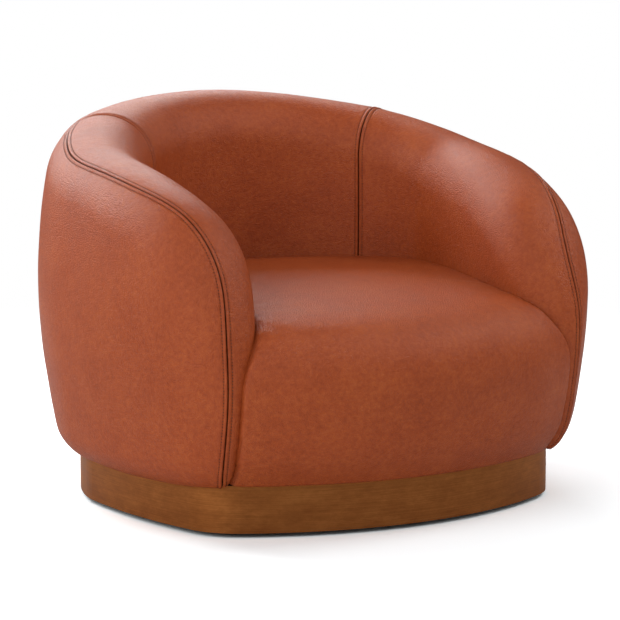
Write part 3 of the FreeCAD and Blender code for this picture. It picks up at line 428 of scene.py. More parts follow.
        def rim(points: int, first_turn: np.ndarray, last_turn: np.ndarray) -> tuple:
            """Places on the rolled rim past one turn and up to another.

            Args:
                points: how many, the first one included.
                first_turn: the turn that they start past.
                last_turn: the turn that they end at.

            Returns:
                The places across and up each profile.
            """
            shares = np.linspace(0, 1, points)[1:]
            angle = start[:, None] - first_turn[:, None] - shares * (last_turn - first_turn)[:, None]
            return (centre_u[:, None] + nose[:, None] * np.cos(angle),
                    centre_v[:, None] + nose[:, None] * np.sin(angle))

        outer_u, outer_v = rim(self.outer_rim_points, 0 * seam, seam)
        inner_u, inner_v = rim(self.inner_rim_points, seam, nose_turn)
        begin_u, begin_v = inner_u[:, -1], inner_v[:, -1]
        heading = start - nose_turn - math.pi / 2
        chord_u, chord_v = width - begin_u, -begin_v
        length = np.hypot(chord_u, chord_v)
        swing = np.arctan2(chord_v, chord_u) - heading
        swing = (swing + math.pi) % (2 * math.pi) - math.pi
        shares = np.linspace(0, 1, self.inner_face_points)[1:]
        go = length[:, None] * np.sin(shares * swing[:, None]) / np.sin(swing)[:, None]
        course = heading[:, None] + shares * swing[:, None]
        wall_u, wall_v = begin_u[:, None] + go * np.cos(course), begin_v[:, None] + go * np.sin(course)
        points = spot(np.hstack([belly_u, outer_u, inner_u, wall_u]),
                      np.hstack([belly_v, outer_v, inner_v, wall_v]))
        return np.concatenate([points, inward[:, None]], 1)


TUB = TubForm()


def run_lengths(points: np.ndarray) -> np.ndarray:
    """Lengths along each polyline, from its first point."""
    steps = np.linalg.norm(np.diff(points, axis=-2), axis=-1)
    return np.concatenate([np.zeros(steps.shape[:-1] + (1,)), np.cumsum(steps, -1)], -1)


def resample(points: np.ndarray, lengths: np.ndarray, wanted: np.ndarray) -> np.ndarray:
    """Points of each polyline at wanted lengths.

    Args:
        points: polylines, one in each row.
        lengths: lengths along them.
        wanted: wanted lengths, one row for each polyline.

    Returns:
        The points there.
    """
    out = np.empty(wanted.shape + (3,))
    for row in range(len(points)):
        for axis in range(3):
            out[row, :, axis] = np.interp(wanted[row], lengths[row], points[row, :, axis])
    return out


def edge_ladder(total: np.ndarray, step: float) -> np.ndarray:
    """Distances from a seamed edge: close together at first, then even up to the far edge.

    Args:
        total: width of the panel at each station.
        step: about how far apart the even ones are.

    Returns:
        One row of distances for each station.
    """
    near = np.array(SEAM_LADDER)
    rest = max(2, int(round((float(total.max()) - near[-1]) / step)))
    first = near[None, :] * np.minimum(1.0, total / (near[-1] * LADDER_ROOM))[:, None]
    shares = np.arange(1, rest + 1) / rest
    tail = first[:, -1:] + (total[:, None] - first[:, -1:]) * shares[None, :]
    return np.concatenate([first, tail], 1)


def seam_relief(distance: np.ndarray) -> np.ndarray:
    """Height of the leather beside a turned and top-stitched seam, in millimetres.

    The leather dips into the seam, rises over its turned edge, is drawn down by the stitches
    and then runs out flat.
    """
    return np.interp(distance, RELIEF_PLACES, RELIEF)


def soft_noise(points: np.ndarray, wave: float, seed: float) -> np.ndarray:
    """Smooth noise from -1 to 1 at points in millimetres, with waves of a given length.

    Args:
        points: where it is wanted.
        wave: length of its waves.
        seed: which of its patterns it is.

    Returns:
        One value for each point.
    """
    flat = points.reshape(-1, 3) / wave + seed
    values = np.array([noise.noise(Vector(row)) for row in flat])
    return values.reshape(points.shape[:-1])


def swelling(points: np.ndarray, heights: tuple, seeds: tuple) -> np.ndarray:
    """Soft swells of the padding, broad and narrow, at points in millimetres."""
    return sum(height * soft_noise(points, wave, seed)
               for height, wave, seed in zip(heights, SWELL_WAVES, seeds))


def softened(values: np.ndarray, axis: int) -> np.ndarray:
    """Values drawn toward their two neighbours along an axis, with the ends kept.

    Args:
        values: the values.
        axis: the axis.

    Returns:
        The softened values.
    """
    rows = np.moveaxis(values, axis, 0).copy()
    rows[1:-1] = (rows[:-2] + 2 * rows[1:-1] + rows[2:]) / 4
    return np.moveaxis(rows, 0, axis)


def sheet_normals(points: np.ndarray) -> np.ndarray:
    """Unit normals of a grid of points."""
    normal = np.cross(np.gradient(points, axis=0), np.gradient(points, axis=1))
    return normal / np.maximum(np.linalg.norm(normal, axis=-1, keepdims=True), 1e-9)


# ---------------------------------------------------------------- meshes

def sheet_mesh(name: str, points: np.ndarray, seam: np.ndarray, flip: bool) -> bpy.types.Object:
    """Object whose mesh is a grid shaped onto points.

    Args:
        name: the piece's name.
        points: a grid of points in millimetres.
        seam: how near each point is to a seam or to the seat's crease, from 0 to 1; the leather's finish
            paints shade there.
        flip: whether to turn the faces over.

    Returns:
        The new object, at the origin.
    """
    rows, columns = points.shape[:2]
    bm = bmesh.new()
    bmesh.ops.create_grid(bm, x_segments=columns - 1, y_segments=rows - 1, size=1.0, calc_uvs=False)
    bm.verts.ensure_lookup_table()
    layer = bm.verts.layers.float.new("seam")
    uv = bm.loops.layers.uv.new("run")
    flat, near = points.reshape(-1, 3) * MM, seam.reshape(-1)
    for number, vert in enumerate(bm.verts):
        vert.co = flat[number]
        vert[layer] = near[number]
    for face in bm.faces:
        for loop in face.loops:
            row, column = divmod(loop.vert.index, columns)
            loop[uv].uv = (column / columns, row / rows)
    if flip:
        bmesh.ops.reverse_faces(bm, faces=bm.faces)
    return to_object(name, bm)


def to_object(name: str, bm: bmesh.types.BMesh) -> bpy.types.Object:
    """Object at the origin that takes over a bmesh, shaded smooth.

    Args:
        name: the piece's name.
        bm: the bmesh, which is freed.

    Returns:
        The new object.
    """
    for face in bm.faces:
        face.smooth = True
    mesh = bpy.data.meshes.new(name)
    bm.to_mesh(mesh)
    bm.free()
    piece = bpy.data.objects.new(name, mesh)
    bpy.context.scene.collection.objects.link(piece)
    return piece


def upholster(piece: bpy.types.Object, leather: bpy.types.Material, nodes: tuple) -> None:
    """Gives a padded piece its hide, with the hide's thickness inwards.

    Args:
        piece: the piece.
        leather: the hide's finish.
        nodes: nodes of the frame that the piece stands for.
    """
    piece.data.materials.append(leather)
    solid = piece.modifiers.new("hide", "SOLIDIFY")
    solid.thickness = HIDE_THICKNESS * MM
    solid.offset = -1.0
    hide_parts(*nodes)
    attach(piece, "chair")
    LOG.info("%s: %d faces", piece.name, len(piece.data.polygons))


# ---------------------------------------------------------------- finishes

def tone(code: str) -> tuple:
    """Linear colour of an sRGB hex value."""
    parts = [int(code[i:i + 2], 16) / 255 for i in (1, 3, 5)]
    return tuple(p / 12.92 if p <= 0.04045 else ((p + 0.055) / 1.055) ** 2.4 for p in parts) + (1.0,)


def wire(tree: bpy.types.NodeTree, node: bpy.types.Node, settings: dict | None = None,
         links: dict | None = None) -> bpy.types.Node:
    """Gives a node its settings and links.

    Args:
        tree: the material's tree.
        node: the node.
        settings: properties by name, input values by socket, and a ramp's stops of place and colour.
        links: what feeds the node's inputs, by name or number: a socket, or a node's first output.

    Returns:
        The node.
    """
    for key, value in (settings or {}).items():
        if key == "stops":
            while len(node.color_ramp.elements) < len(value):
                node.color_ramp.elements.new(0.5)
            for element, stop in zip(node.color_ramp.elements, value):
                element.position, element.color = stop
        elif isinstance(key, str) and hasattr(node, key):
            setattr(node, key, value)
        else:
            node.inputs[key].default_value = value
    for key, source in (links or {}).items():
        tree.links.new(getattr(source, "outputs", (source,))[0], node.inputs[key])
    return node


def add(tree: bpy.types.NodeTree, kind: str, settings: dict | None = None,
        links: dict | None = None) -> bpy.types.Node:
    """Adds one node of a kind, with its settings and links."""
    return wire(tree, tree.nodes.new("ShaderNode" + kind), settings, links)


class Finish:
    """A surface finish that makes its own material."""

    def material(self, name: str) -> bpy.types.Material:
        """The finish as a material on the object's own coordinates.

        Args:
            name: the material's name.

        Returns:
            The material.
        """
        mat = bpy.data.materials.new(name)
        mat.use_nodes = True
        tree = mat.node_tree
        place = add(tree, "TexCoord").outputs["Object"]
        wire(tree, tree.nodes["Principled BSDF"], *self.surface(tree, place))
        return mat


@dataclass(frozen=True)
class FullGrainLeather(Finish):
    """Aniline-dyed full-grain cowhide, drum-dyed and lightly waxed: cloudy colour, fine pebbled grain."""

    light: str = "#AE5426"
    middle: str = "#A2481F"
    deep: str = "#933E19"
    # Painted shade: near-black brown that the colour runs to along seams and in the seat's crease, where
    # the grooves lie in shade
    painted_groove_shade: str = "#2A0F08"
    roughness: float = 0.38
    # Pores of a smooth cowhide are about half a millimetre apart; drawn at 2.2 mm to show
    grain_mm: float = 2.2
    crease_mm: float = 3.6
    mottle_mm: float = 8.0
    cloud_mm: float = 90.0

    def surface(self, tree: bpy.types.NodeTree, place: bpy.types.NodeSocket) -> tuple:
        """Adds the finish's nodes.

        Args:
            tree: the material's tree.
            place: the coordinates of its patterns.

        Returns:
            The shader's values and what feeds it.
        """
        at = {"Vector": place}
        cloud = add(tree, "TexNoise", {"Scale": 1 / (self.cloud_mm * MM), "Detail": 5.0,
                                       "Roughness": 0.55, "Distortion": 0.4}, at)
        mottle = add(tree, "TexNoise", {"Scale": 1 / (self.mottle_mm * MM), "Detail": 5.0,
                                        "Roughness": 0.7}, at)
        blend = add(tree, "Math", {"operation": "MULTIPLY_ADD", 1: 0.45}, {0: cloud, 2: mottle})
        colour = add(tree, "ValToRGB", {"stops": ((0.5, tone(self.deep)), (0.72, tone(self.middle)),
                                                  (0.94, tone(self.light)))}, {"Fac": blend})
        # Painted shade: the vertex value "seam" darkens the colour toward the groove tone next to seams
        # and creases
        seam = add(tree, "Attribute", {"attribute_name": "seam"}).outputs["Fac"]
        dark = add(tree, "ValToRGB", {"stops": ((0.0, (0, 0, 0, 1)), (0.5, (0.25, 0.25, 0.25, 1)),
                                                (0.85, (1, 1, 1, 1)))}, {"Fac": seam})
        colour_with_painted_shade = add(tree, "Mix", {"data_type": "RGBA", 7: tone(self.painted_groove_shade)}, {0: dark, 6: colour})
        pores = add(tree, "TexVoronoi", {"Scale": 1 / (self.grain_mm * MM)}, at)
        crease = add(tree, "TexNoise", {"Scale": 1 / (self.crease_mm * MM), "Detail": 6.0,
                                        "Roughness": 0.7}, at)
        height = add(tree, "Math", {"operation": "MULTIPLY_ADD", 1: -0.5}, {0: pores, 2: crease})
        bump = add(tree, "Bump", {"Strength": 0.85, "Distance": 0.0016}, {"Height": height})
        rough = add(tree, "MapRange", {"From Min": 0.3, "From Max": 0.75,
                                       "To Min": self.roughness - 0.06,
                                       "To Max": self.roughness + 0.08}, {"Value": crease})
        return ({"IOR": 1.48, "Specular IOR Level": 0.3},
                {"Base Color": colour_with_painted_shade.outputs[2], "Normal": bump, "Roughness": rough})


@dataclass(frozen=True)
class BrushedBronze(Finish):
    """Bronze sheet, brushed along the band and darkened with a patina that clouds its colour."""

    bright: str = "#D88B4B"
    middle: str = "#C67A40"
    dark: str = "#B46C38"
    # Waves in a metre. Brush lines are a tenth of a millimetre apart; drawn at 0.9 mm to show. They
    # run level round the band, and the patina's clouds are about 60 mm long and 30 mm high.
    lines: tuple = (9.0, 9.0, 1100.0)
    clouds: tuple = (16.0, 16.0, 34.0)

    def surface(self, tree: bpy.types.NodeTree, place: bpy.types.NodeSocket) -> tuple:
        """Adds the finish's nodes.

        Args:
            tree: the material's tree.
            place: the coordinates of its patterns.

        Returns:
            The shader's values and what feeds it.
        """
        at = {"Vector": place}
        brush = add(tree, "TexNoise", {"Scale": 1.0, "Detail": 3.0, "Roughness": 0.6},
                    {"Vector": add(tree, "Mapping", {"Scale": self.lines}, at)})
        patina = add(tree, "TexNoise", {"Scale": 1.0, "Detail": 6.0, "Roughness": 0.75},
                     {"Vector": add(tree, "Mapping", {"Scale": self.clouds}, at)})
        blend = add(tree, "Math", {"operation": "MULTIPLY_ADD", 1: 0.6}, {0: brush, 2: patina})
        colour = add(tree, "ValToRGB", {"stops": ((0.62, tone(self.dark)), (0.8, tone(self.middle)),
                                                  (0.98, tone(self.bright)))}, {"Fac": blend})
        rough = add(tree, "MapRange", {"From Min": 0.55, "From Max": 1.0, "To Min": 0.34, "To Max": 0.5},
                    {"Value": blend})
        bump = add(tree, "Bump", {"Strength": 0.15, "Distance": 0.0003}, {"Height": brush})
        return {"Metallic": 1.0}, {"Base Color": colour, "Normal": bump, "Roughness": rough}


@dataclass(frozen=True)
class PlainFinish(Finish):
    """A finish of two tones broken up by a stretched noise, for thread and for pieces out of sight."""

    light: str
    dark: str
    roughness: float
    wave_mm: tuple
    metallic: float = 0.0
    bump: float = 0.1

    def surface(self, tree: bpy.types.NodeTree, place: bpy.types.NodeSocket) -> tuple:
        """Adds the finish's nodes.

        Args:
            tree: the material's tree.
            place: the coordinates of its patterns.

        Returns:
            The shader's values and what feeds it.
        """
        scaled = add(tree, "Mapping", {"Scale": tuple(1 / (w * MM) for w in self.wave_mm)},
                     {"Vector": place})
        grain = add(tree, "TexNoise", {"Scale": 1.0, "Detail": 4.0, "Roughness": 0.6},
                    {"Vector": scaled})
        colour = add(tree, "ValToRGB", {"stops": ((0.35, tone(self.dark)), (0.65, tone(self.light)))},
                     {"Fac": grain})
        bump = add(tree, "Bump", {"Strength": self.bump, "Distance": 0.0005}, {"Height": grain})
        return ({"Roughness": self.roughness, "Metallic": self.metallic},
                {"Base Color": colour, "Normal": bump})


# Bonded nylon thread, twisted and waxed: dark red brown with a dull shine
THREAD = PlainFinish("#43180C", "#2E0F07", 0.6, (2.0, 2.0, 2.0), 0.0, 0.4)
# Finishes by the frame's slots, each with its material's name
FINISHES = {
    # Birch plywood, sanded: thin layers that show as lines on its edges
    "plywood": ("plywood", PlainFinish("#C9A878", "#A98453", 0.6, (60.0, 60.0, 1.5))),
    # Beech, planed: long pale streaks of grain
    "beech": ("beech", PlainFinish("#C29A6B", "#A97E52", 0.55, (8.0, 90.0, 8.0))),
    # Board, black: painted shade that reads as a shadow line, also on the plinth's ring over the floor
    "dark_board": ("dark_board", PlainFinish("#1A1614", "#0D0B0A", 0.7, (8.0, 60.0, 8.0))),
    # Steel plate, zinc-plated: cool grey, slightly mottled
    "steel": ("steel", PlainFinish("#A9ADB2", "#83878C", 0.32, (1.0, 1.0, 30.0), 1.0)),
    # Nylon, turned: even black with a dull shine
    "nylon": ("nylon", PlainFinish("#2A2A2B", "#1C1C1D", 0.5, (2.0, 2.0, 2.0))),
    # Elastic webbing, woven: matt brown with a ribbed weave
    "webbing": ("webbing", PlainFinish("#4A423B", "#2C2722", 0.85, (1.2, 1.2, 1.2), 0.0, 0.5)),
    # Wool felt, pressed: mottled grey without a shine
    "felt": ("felt", PlainFinish("#77736D", "#5B5852", 0.95, (3.0, 3.0, 3.0), 0.0, 0.6)),
    # Foam, cut: pale cream with open pores
    "foam": ("foam", PlainFinish("#E3D9B8", "#D2C59B", 0.9, (3.0, 3.0, 3.0), 0.0, 0.5)),
    "bronze": ("brushed_bronze", BrushedBronze()),
    "leather": ("hide_under", FullGrainLeather()),
}


# ---------------------------------------------------------------- upholstery

@dataclass
class WallPanel:
    """One leather panel of the wall, on one side of the chair, or right across the back with no side.

    A panel on one side runs from the arm's toe to the upright seam at the corner of the back. Half of
    a panel of the back runs on from there to the middle, and the other half mirrors it.
    """

    name: str
    nodes: tuple
    stretch: Stretch
    side: Side | None = None
    pitch: float = 3.8
    lane_step: float = 7.0
    # Distances from the corner's seam up to which the lanes keep their width, wholly and in part
    hold: tuple = (20.0, 150.0)
    # Distances from a seam at which the swells are full, the pulls are full and its painted groove shade
    # ends
    swell_start: float = 60.0
    pull_start: float = 4.0
    painted_groove_shade: float = 2.2
    edge_fade: float = 30.0
    swells: tuple = (0.8, 0.35)
    swell_seeds: tuple = (3.7, 9.1)
    # Folds that the stitches draw: how far apart and how long they are, and their height and how far
    # they run out, for the narrow and the wide ones at the rim and for those at the corner
    fold_pitch: float = 9.0
    fold_length: float = 34.0
    rim_folds: tuple = (0.5, 20.0)
    wide_folds: tuple = (0.55, 42.0)
    corner_folds: tuple = (0.4, 14.0)
    # The sag below the foot by the place along Y, and the heights where it starts and is full
    sag_places: tuple = (-345.0, -220.0, -100.0, 0.0, 150.0)
    sags: tuple = (FRONT_SAG, 10.0, 12.0, 10.0, 8.0)
    sag_heights: tuple = (230.0, 120.0)

    def _stations(self) -> np.ndarray:
        """Places along the run, evenly spaced and closer together beside the corner's seam.

        Returns:
            The places, from the panel's first to its last.
        """
        start, end = np.zeros(1), TUB.corner_run - np.array(SEAM_LADDER)[::-1]
        if self.side is None:
            start, end = TUB.corner_run + np.array(SEAM_LADDER), TUB.run[-1:]
        count = int((end[0] - start[-1]) / self.pitch)
        return np.concatenate([start, np.linspace(start[-1], end[0], count)[1:-1], end])

    def _lane_places(self, at: np.ndarray) -> np.ndarray:
        """Places along the run for every lane, so that the corner's seam is as wide on each of them.

        Args:
            at: the stations' places along the run.

        Returns:
            One row for each station.
        """
        row = int(TUB.corner_run / TUB.spacing)
        stride = np.linalg.norm(TUB.table[row + 2] - TUB.table[row - 2], axis=-1) / (4 * TUB.spacing)
        stride[-1] = 1.0
        sign = 1.0 if self.side is None else -1.0
        away = (at - TUB.corner_run)[:, None] * sign
        hold = np.clip(1 - (away - self.hold[0]) / (self.hold[1] - self.hold[0]), 0, 1)
        return at[:, None] + sign * away * (1 / np.maximum(stride, 0.5) - 1) * hold

    def build(self) -> bpy.types.Object:
        """The panel as a piece, with its seam edges, soft swellings and small pulls.

        Returns:
            The piece, not yet dressed.
        """
        self.run = self._stations()
        form = TUB.along(self._lane_places(self.run))
        outer = self.stretch is Stretch.OUTER
        part = form[:, TUB.seam::-1] if outer else form[:, TUB.seam:-1]
        lengths = run_lengths(part)
        ladder = edge_ladder(lengths[:, -1], self.lane_step)
        grid = self._sagged(resample(part, lengths, ladder))
        if outer:
            # The lower edge turns under the foot
            grid = np.concatenate([grid, grid[:, -1:] + form[:, -1:] * UNDER_TURN], 1)
            ladder = np.concatenate([ladder, ladder[:, -1:] + UNDER_TURN], 1)
        if self.side is None:
            grid = np.concatenate([grid, grid[-2::-1] * MIRROR])
            ladder = np.concatenate([ladder, ladder[-2::-1]])
            self.run = np.concatenate([self.run, 2 * self.run[-1] - self.run[-2::-1]])
        normal = sheet_normals(grid)
        # Just past the seam, out of the wall is up
        upright = normal[len(grid) // 3, 4, 2] > 0
        normal = normal if upright else -normal
        run_gap = self.run[-1] - self.run
        if self.side is None:
            run_gap = np.minimum(run_gap, self.run - self.run[0])
        run_gap = run_gap[:, None] + np.zeros_like(ladder)
        gap = np.minimum(ladder, run_gap)
        relief = np.stack([seam_relief(ladder), seam_relief(run_gap)])
        height = np.where((relief < 0).any(0), relief.min(0), relief.max(0))
        fade = np.clip((ladder[:, -2:-1] - ladder) / self.edge_fade, 0, 1) if outer else 1.0
        swell = swelling(grid, self.swells, self.swell_seeds)
        pull = self._pulls(ladder, run_gap) * np.clip(gap / self.pull_start, 0.0, 1.0)
        height = height + (swell * np.clip(gap / self.swell_start, 0, 1) + pull) * fade
        grid = grid + normal * height[..., None]
        mirrored = self.side is Side.LEFT
        if mirrored:
            grid, normal = grid * MIRROR, normal * MIRROR
        self.grid, self.normal, self.ladder = grid, normal, ladder
        # Nearness to a seam, which the leather's finish turns into painted shade along the seam
        return sheet_mesh(self.name, grid, np.clip(1 - gap / self.painted_groove_shade, 0, 1), upright != mirrored)

    def _pulls(self, ladder: np.ndarray, run_gap: np.ndarray) -> np.ndarray:
        """Fine folds that the stitches draw, square to the seam that they belong to.

        Args:
            ladder: distance of each point from the rim seam.
            run_gap: distance of each point from the seam at a panel's end.

        Returns:
            Heights in millimetres.
        """
        run = self.run[:, None] + np.zeros_like(ladder)
        rim = np.stack([run / self.fold_pitch, ladder / self.fold_length, 0 * run], -1)
        end = np.stack([ladder / self.fold_pitch, run_gap / self.fold_length, 0 * run + 7.0], -1)
        patterns = ((self.rim_folds, rim, 5.3, ladder),
                    (self.wide_folds, rim * (0.4, 0.5, 1.0), 2.9, ladder),
                    (self.corner_folds, end, 8.1, run_gap))
        return sum(height * soft_noise(folds, 1.0, seed) * np.exp(-away / fade)
                   for (height, fade), folds, seed, away in patterns)

    def _sagged(self, grid: np.ndarray) -> np.ndarray:
        """The belly sags a little over the plinth, most beside the arms.

        Args:
            grid: points of the panel, which are moved.

        Returns:
            The points.
        """
        start, full = self.sag_heights
        low = np.clip((start - grid[..., 2]) / (start - full), 0, 1)
        drop = np.interp(grid[..., 1], self.sag_places, self.sags)
        if self.stretch is Stretch.INNER:
            drop = np.minimum(drop, FRONT_SAG)
        grid[..., 2] -= drop * low ** 2 * (3 - 2 * low)
        return grid


@dataclass
class LeatherTub:
    """The arms and the back: six panels that meet at turned seams."""

    leather: bpy.types.Material
    fill: float = 0.95

    def build(self) -> list:
        """Builds and dresses every panel, and gives them back.

        Returns:
            The panels, for the seat and the stitches.
        """
        panels = []
        for side in Side:
            word = side.name.lower()
            panels += [WallPanel(word + "_outer_panel", (word + "_outer_cover",), Stretch.OUTER, side),
                       WallPanel(word + "_arm_panel", (word + "_arm_cover", word + "_arm_foam"),
                                 Stretch.INNER, side)]
        panels += [WallPanel("back_outer_panel", ("back_outer_cover",), Stretch.OUTER),
                   WallPanel("inner_back_panel", ("inner_back_cover", "back_foam"), Stretch.INNER)]
        for panel in panels:
            upholster(panel.build(), self.leather, panel.nodes)
        return panels


@dataclass
class WaterfallSeat:
    """The seat: one pad that falls over its front edge and tucks down beside the wall."""

    leather: bpy.types.Material
    half_width: float = 352.0
    shoulder_start: float = 262.0
    shoulder_height: float = 361.0
    shoulder_depth: float = 84.0
    shoulder_turn: float = 80.0
    crown_height: float = 397.0
    back_height: float = 384.0
    back_reach: float = 262.0
    # How far the seat falls toward its sides, the half width where it does, and how late it starts
    side_fall: float = 5.0
    reference_half: float = 336.0
    side_power: float = 2.2
    # Points up the front, over the shoulder, on to the crown and on to the back
    line_points: tuple = (40, 26, 40, 30)
    line_softenings: int = 55
    gap_softenings: int = 4
    swells: tuple = (1.2, 0.5)
    swell_seeds: tuple = (1.3, 7.9)
    # Folds from the front end of each arm: how close, long and high they are, and where they fade
    fold_centre: tuple = (330.0, -265.0, 350.0)
    fold_rate: float = 5.5
    fold_length: float = 160.0
    fold_height: float = 4.5
    fold_fade: float = 90.0
    fold_start: float = 40.0
    # The rolled edge: from the front's height to the top's, the width of its bend and its slope there,
    # the distance from the wall where it starts, and its greatest depth
    roll_heights: tuple = (250.0, 340.0)
    roll_widths: tuple = (4.5, 9.0)
    roll_slopes: tuple = (1.3, 1.5)
    roll_start: float = 1.5
    roll_depth: float = 40.0
    far: float = 60.0
    # How far under the pad's face the arm's flank is looked for, and where along Y the wall takes over
    flank_depth: float = 12.0
    flank_end: float = -60.0
    flank_fade: float = 100.0
    # Width and strength of the painted shade in the crease beside the wall
    painted_groove_shade: float = 4.0
    groove_shade: float = 0.5
    foot_fade: float = 40.0
    columns: int = 190
    rows: int = 210
    # How much closer together the columns are at the sides, where the pad rolls down
    crowding: float = 0.3
    fill: float = 0.9

    def _line(self, x: np.ndarray) -> np.ndarray:
        """Lengthwise lines up the front, over the shoulder and back over the crown.

        Args:
            x: where the lines lie along X.

        Returns:
            The points of every line.
        """
        fall = self.side_fall * (np.abs(x) / self.reference_half) ** self.side_power
        rises = np.linspace(TUB.base - FRONT_SAG, self.shoulder_start, self.line_points[0])
        lines = [np.stack([x, TUB.front_y(x, TUB.reach(z)), z + 0 * x], 1) for z in rises]
        edge = lines[-1]
        shoulder_y, shoulder_z = edge[:, 1] + self.shoulder_depth, self.shoulder_height - fall
        crown_z = self.crown_height - fall
        over, crown, back = (np.linspace(0, 1, points)[1:] for points in self.line_points[1:])
        # The shoulder is an arc that leaves the front upright and ends nearly level
        cos, sin = cos_sin(self.shoulder_turn)
        for t in over:
            angle = t * math.radians(self.shoulder_turn)
            go, rise = (1 - math.cos(angle)) / (1 - cos), math.sin(angle) / sin
            lines.append(np.stack([x, edge[:, 1] + go * (shoulder_y - edge[:, 1]),
                                   edge[:, 2] + rise * (shoulder_z - edge[:, 2])], 1))
        for t in crown:
            lines.append(np.stack([x, shoulder_y + t * (TUB.shift - shoulder_y),
                                   shoulder_z + (1 - (1 - t) ** 2) * (crown_z - shoulder_z)], 1))
        for t in back:
            lines.append(np.stack([x, TUB.shift + t * (self.back_reach - TUB.shift) + 0 * x,
                                   crown_z - t ** 2 * (self.crown_height - self.back_height)], 1))
        return np.stack(lines, 1)

    def _gaps(self, grid: np.ndarray, normal: np.ndarray, walls: Sequence[WallPanel]) -> np.ndarray:
        """How far each point of the pad lies from the wall, negative behind its leather.

        Args:
            grid: points of the pad, symmetrical in X.
            normal: their outward normals.
            walls: the inner panels that the pad lies between.

        Returns:
            Distances in millimetres, 60 where the wall is farther than that.
        """
        trees = []
        for wall in walls:
            index = np.arange(wall.ladder.size).reshape(wall.ladder.shape)
            faces = np.stack([index[:-1, :-1], index[:-1, 1:], index[1:, 1:], index[1:, :-1]], -1)
            trees.append(BVHTree.FromPolygons(wall.grid.reshape(-1, 3).tolist(),
                                              faces.reshape(-1, 4).tolist()))
        half = self.columns // 2
        gap = np.full((half, grid.shape[1]), self.far)
        for i, j in np.ndindex(gap.shape):
            x, y, z = grid[half + i, j]
            # Below the pad's face, level with the flank of the arm
            start = Vector((0.0, y, z)) - Vector((0.0, *normal[half + i, j, 1:])) * self.flank_depth
            near = flank = self.far
            for tree in trees:
                hit, _, _, distance = tree.find_nearest(Vector((x, y, z)), self.far)
                if hit is not None and distance < abs(near):
                    near = -distance if hit.x < x else distance
                hit, facing, _, _ = tree.ray_cast(start, Vector((1.0, 0.0, 0.0)))
                if hit is not None:
                    flank = min(flank, (hit.x - x) * abs(facing.x))
            share = min(max((y - self.flank_end) / self.flank_fade, 0.0), 1.0)
            gap[i, j] = near * share + flank * (1 - share)
        gap[:, :2] = gap[:, 2:3]
        for _ in range(self.gap_softenings):
            gap = softened(softened(gap, 0), 1)
        return np.concatenate([gap[::-1], gap])

    def _edge_drop(self, gap: np.ndarray, height: np.ndarray) -> np.ndarray:
        """How far the pad has rolled down, by its distance from the wall and by height.

        Args:
            gap: distance from the wall, negative behind its leather.
            height: height of each point.

        Returns:
            Drops in millimetres: tight on the front, softer on top.
        """
        width = np.interp(height, self.roll_heights, self.roll_widths)
        slope = np.interp(height, self.roll_heights, self.roll_slopes)

        def drop(at: np.ndarray) -> np.ndarray:
            """Smooth bend from level to sloping."""
            past = at - self.roll_start
            return 0.5 * slope * (np.hypot(past, width) - past)

        return np.clip(drop(gap) - drop(self.far), 0.0, self.roll_depth)

    def _folds(self, grid: np.ndarray) -> np.ndarray:
        """Soft folds that fan out over the seat from the front end of each arm.

        Args:
            grid: points of the pad.

        Returns:
            Heights in millimetres.
        """
        out = np.zeros(grid.shape[:2])
        for side in Side:
            away = grid - np.array(self.fold_centre) * (side.value, 1.0, 1.0)
            far = np.hypot(away[..., 0], away[..., 1])
            turn = np.arctan2(away[..., 1], -away[..., 0] * side.value)
            ray = np.stack([turn * self.fold_rate, far / self.fold_length, 0 * far + side.value], -1)
            out += (self.fold_height * soft_noise(ray, 1.0, 3.3) * np.exp(-far / self.fold_fade)
                    * np.clip(far / self.fold_start, 0, 1))
        return out

    def build(self, walls: Sequence[WallPanel]) -> None:
        """Builds the seat, rolled down where it meets the wall.

        Args:
            walls: the inner panels that it lies between.
        """
        even = np.linspace(-1.0, 1.0, self.columns)
        lines = self._line(self.half_width * ((1 + self.crowding) * even - self.crowding * even ** 3))
        # Round off the joins of the arcs along each line
        for _ in range(self.line_softenings):
            lines = softened(lines, 1)
        lengths = run_lengths(lines)
        grid = resample(lines, lengths, lengths[:, -1:] * np.linspace(0, 1, self.rows)[None, :])
        normal = sheet_normals(grid)
        if normal[self.columns // 2, -20, 2] < 0:
            normal = -normal
        gap = self._gaps(grid, normal, walls)
        fade = np.clip((grid[..., 2] - TUB.base) / self.foot_fade, 0, 1)
        height = ((swelling(grid, self.swells, self.swell_seeds) + self._folds(grid)) * fade
                  - self._edge_drop(gap, grid[..., 2]))
        grid = grid + normal * height[..., None]
        # The lower edge turns under the foot
        grid = np.concatenate([grid[:, :1] + np.array((0.0, UNDER_TURN, 0.0)), grid], 1)
        gap = np.concatenate([gap[:, :1], gap], 1)
        # Painted shade in the crease beside the wall: the leather's colour darkens toward its groove tone
        # there
        crease_shade = self.groove_shade * np.clip(1 - np.abs(gap) / self.painted_groove_shade, 0, 1)
        piece = sheet_mesh("seat_pad", grid, crease_shade, False)
        if piece.data.polygons[len(piece.data.polygons) // 2 + self.rows - 30].normal.z < 0:
            piece.data.flip_normals()
        upholster(piece, self.leather, ("seat_cover", "seat_foam"))


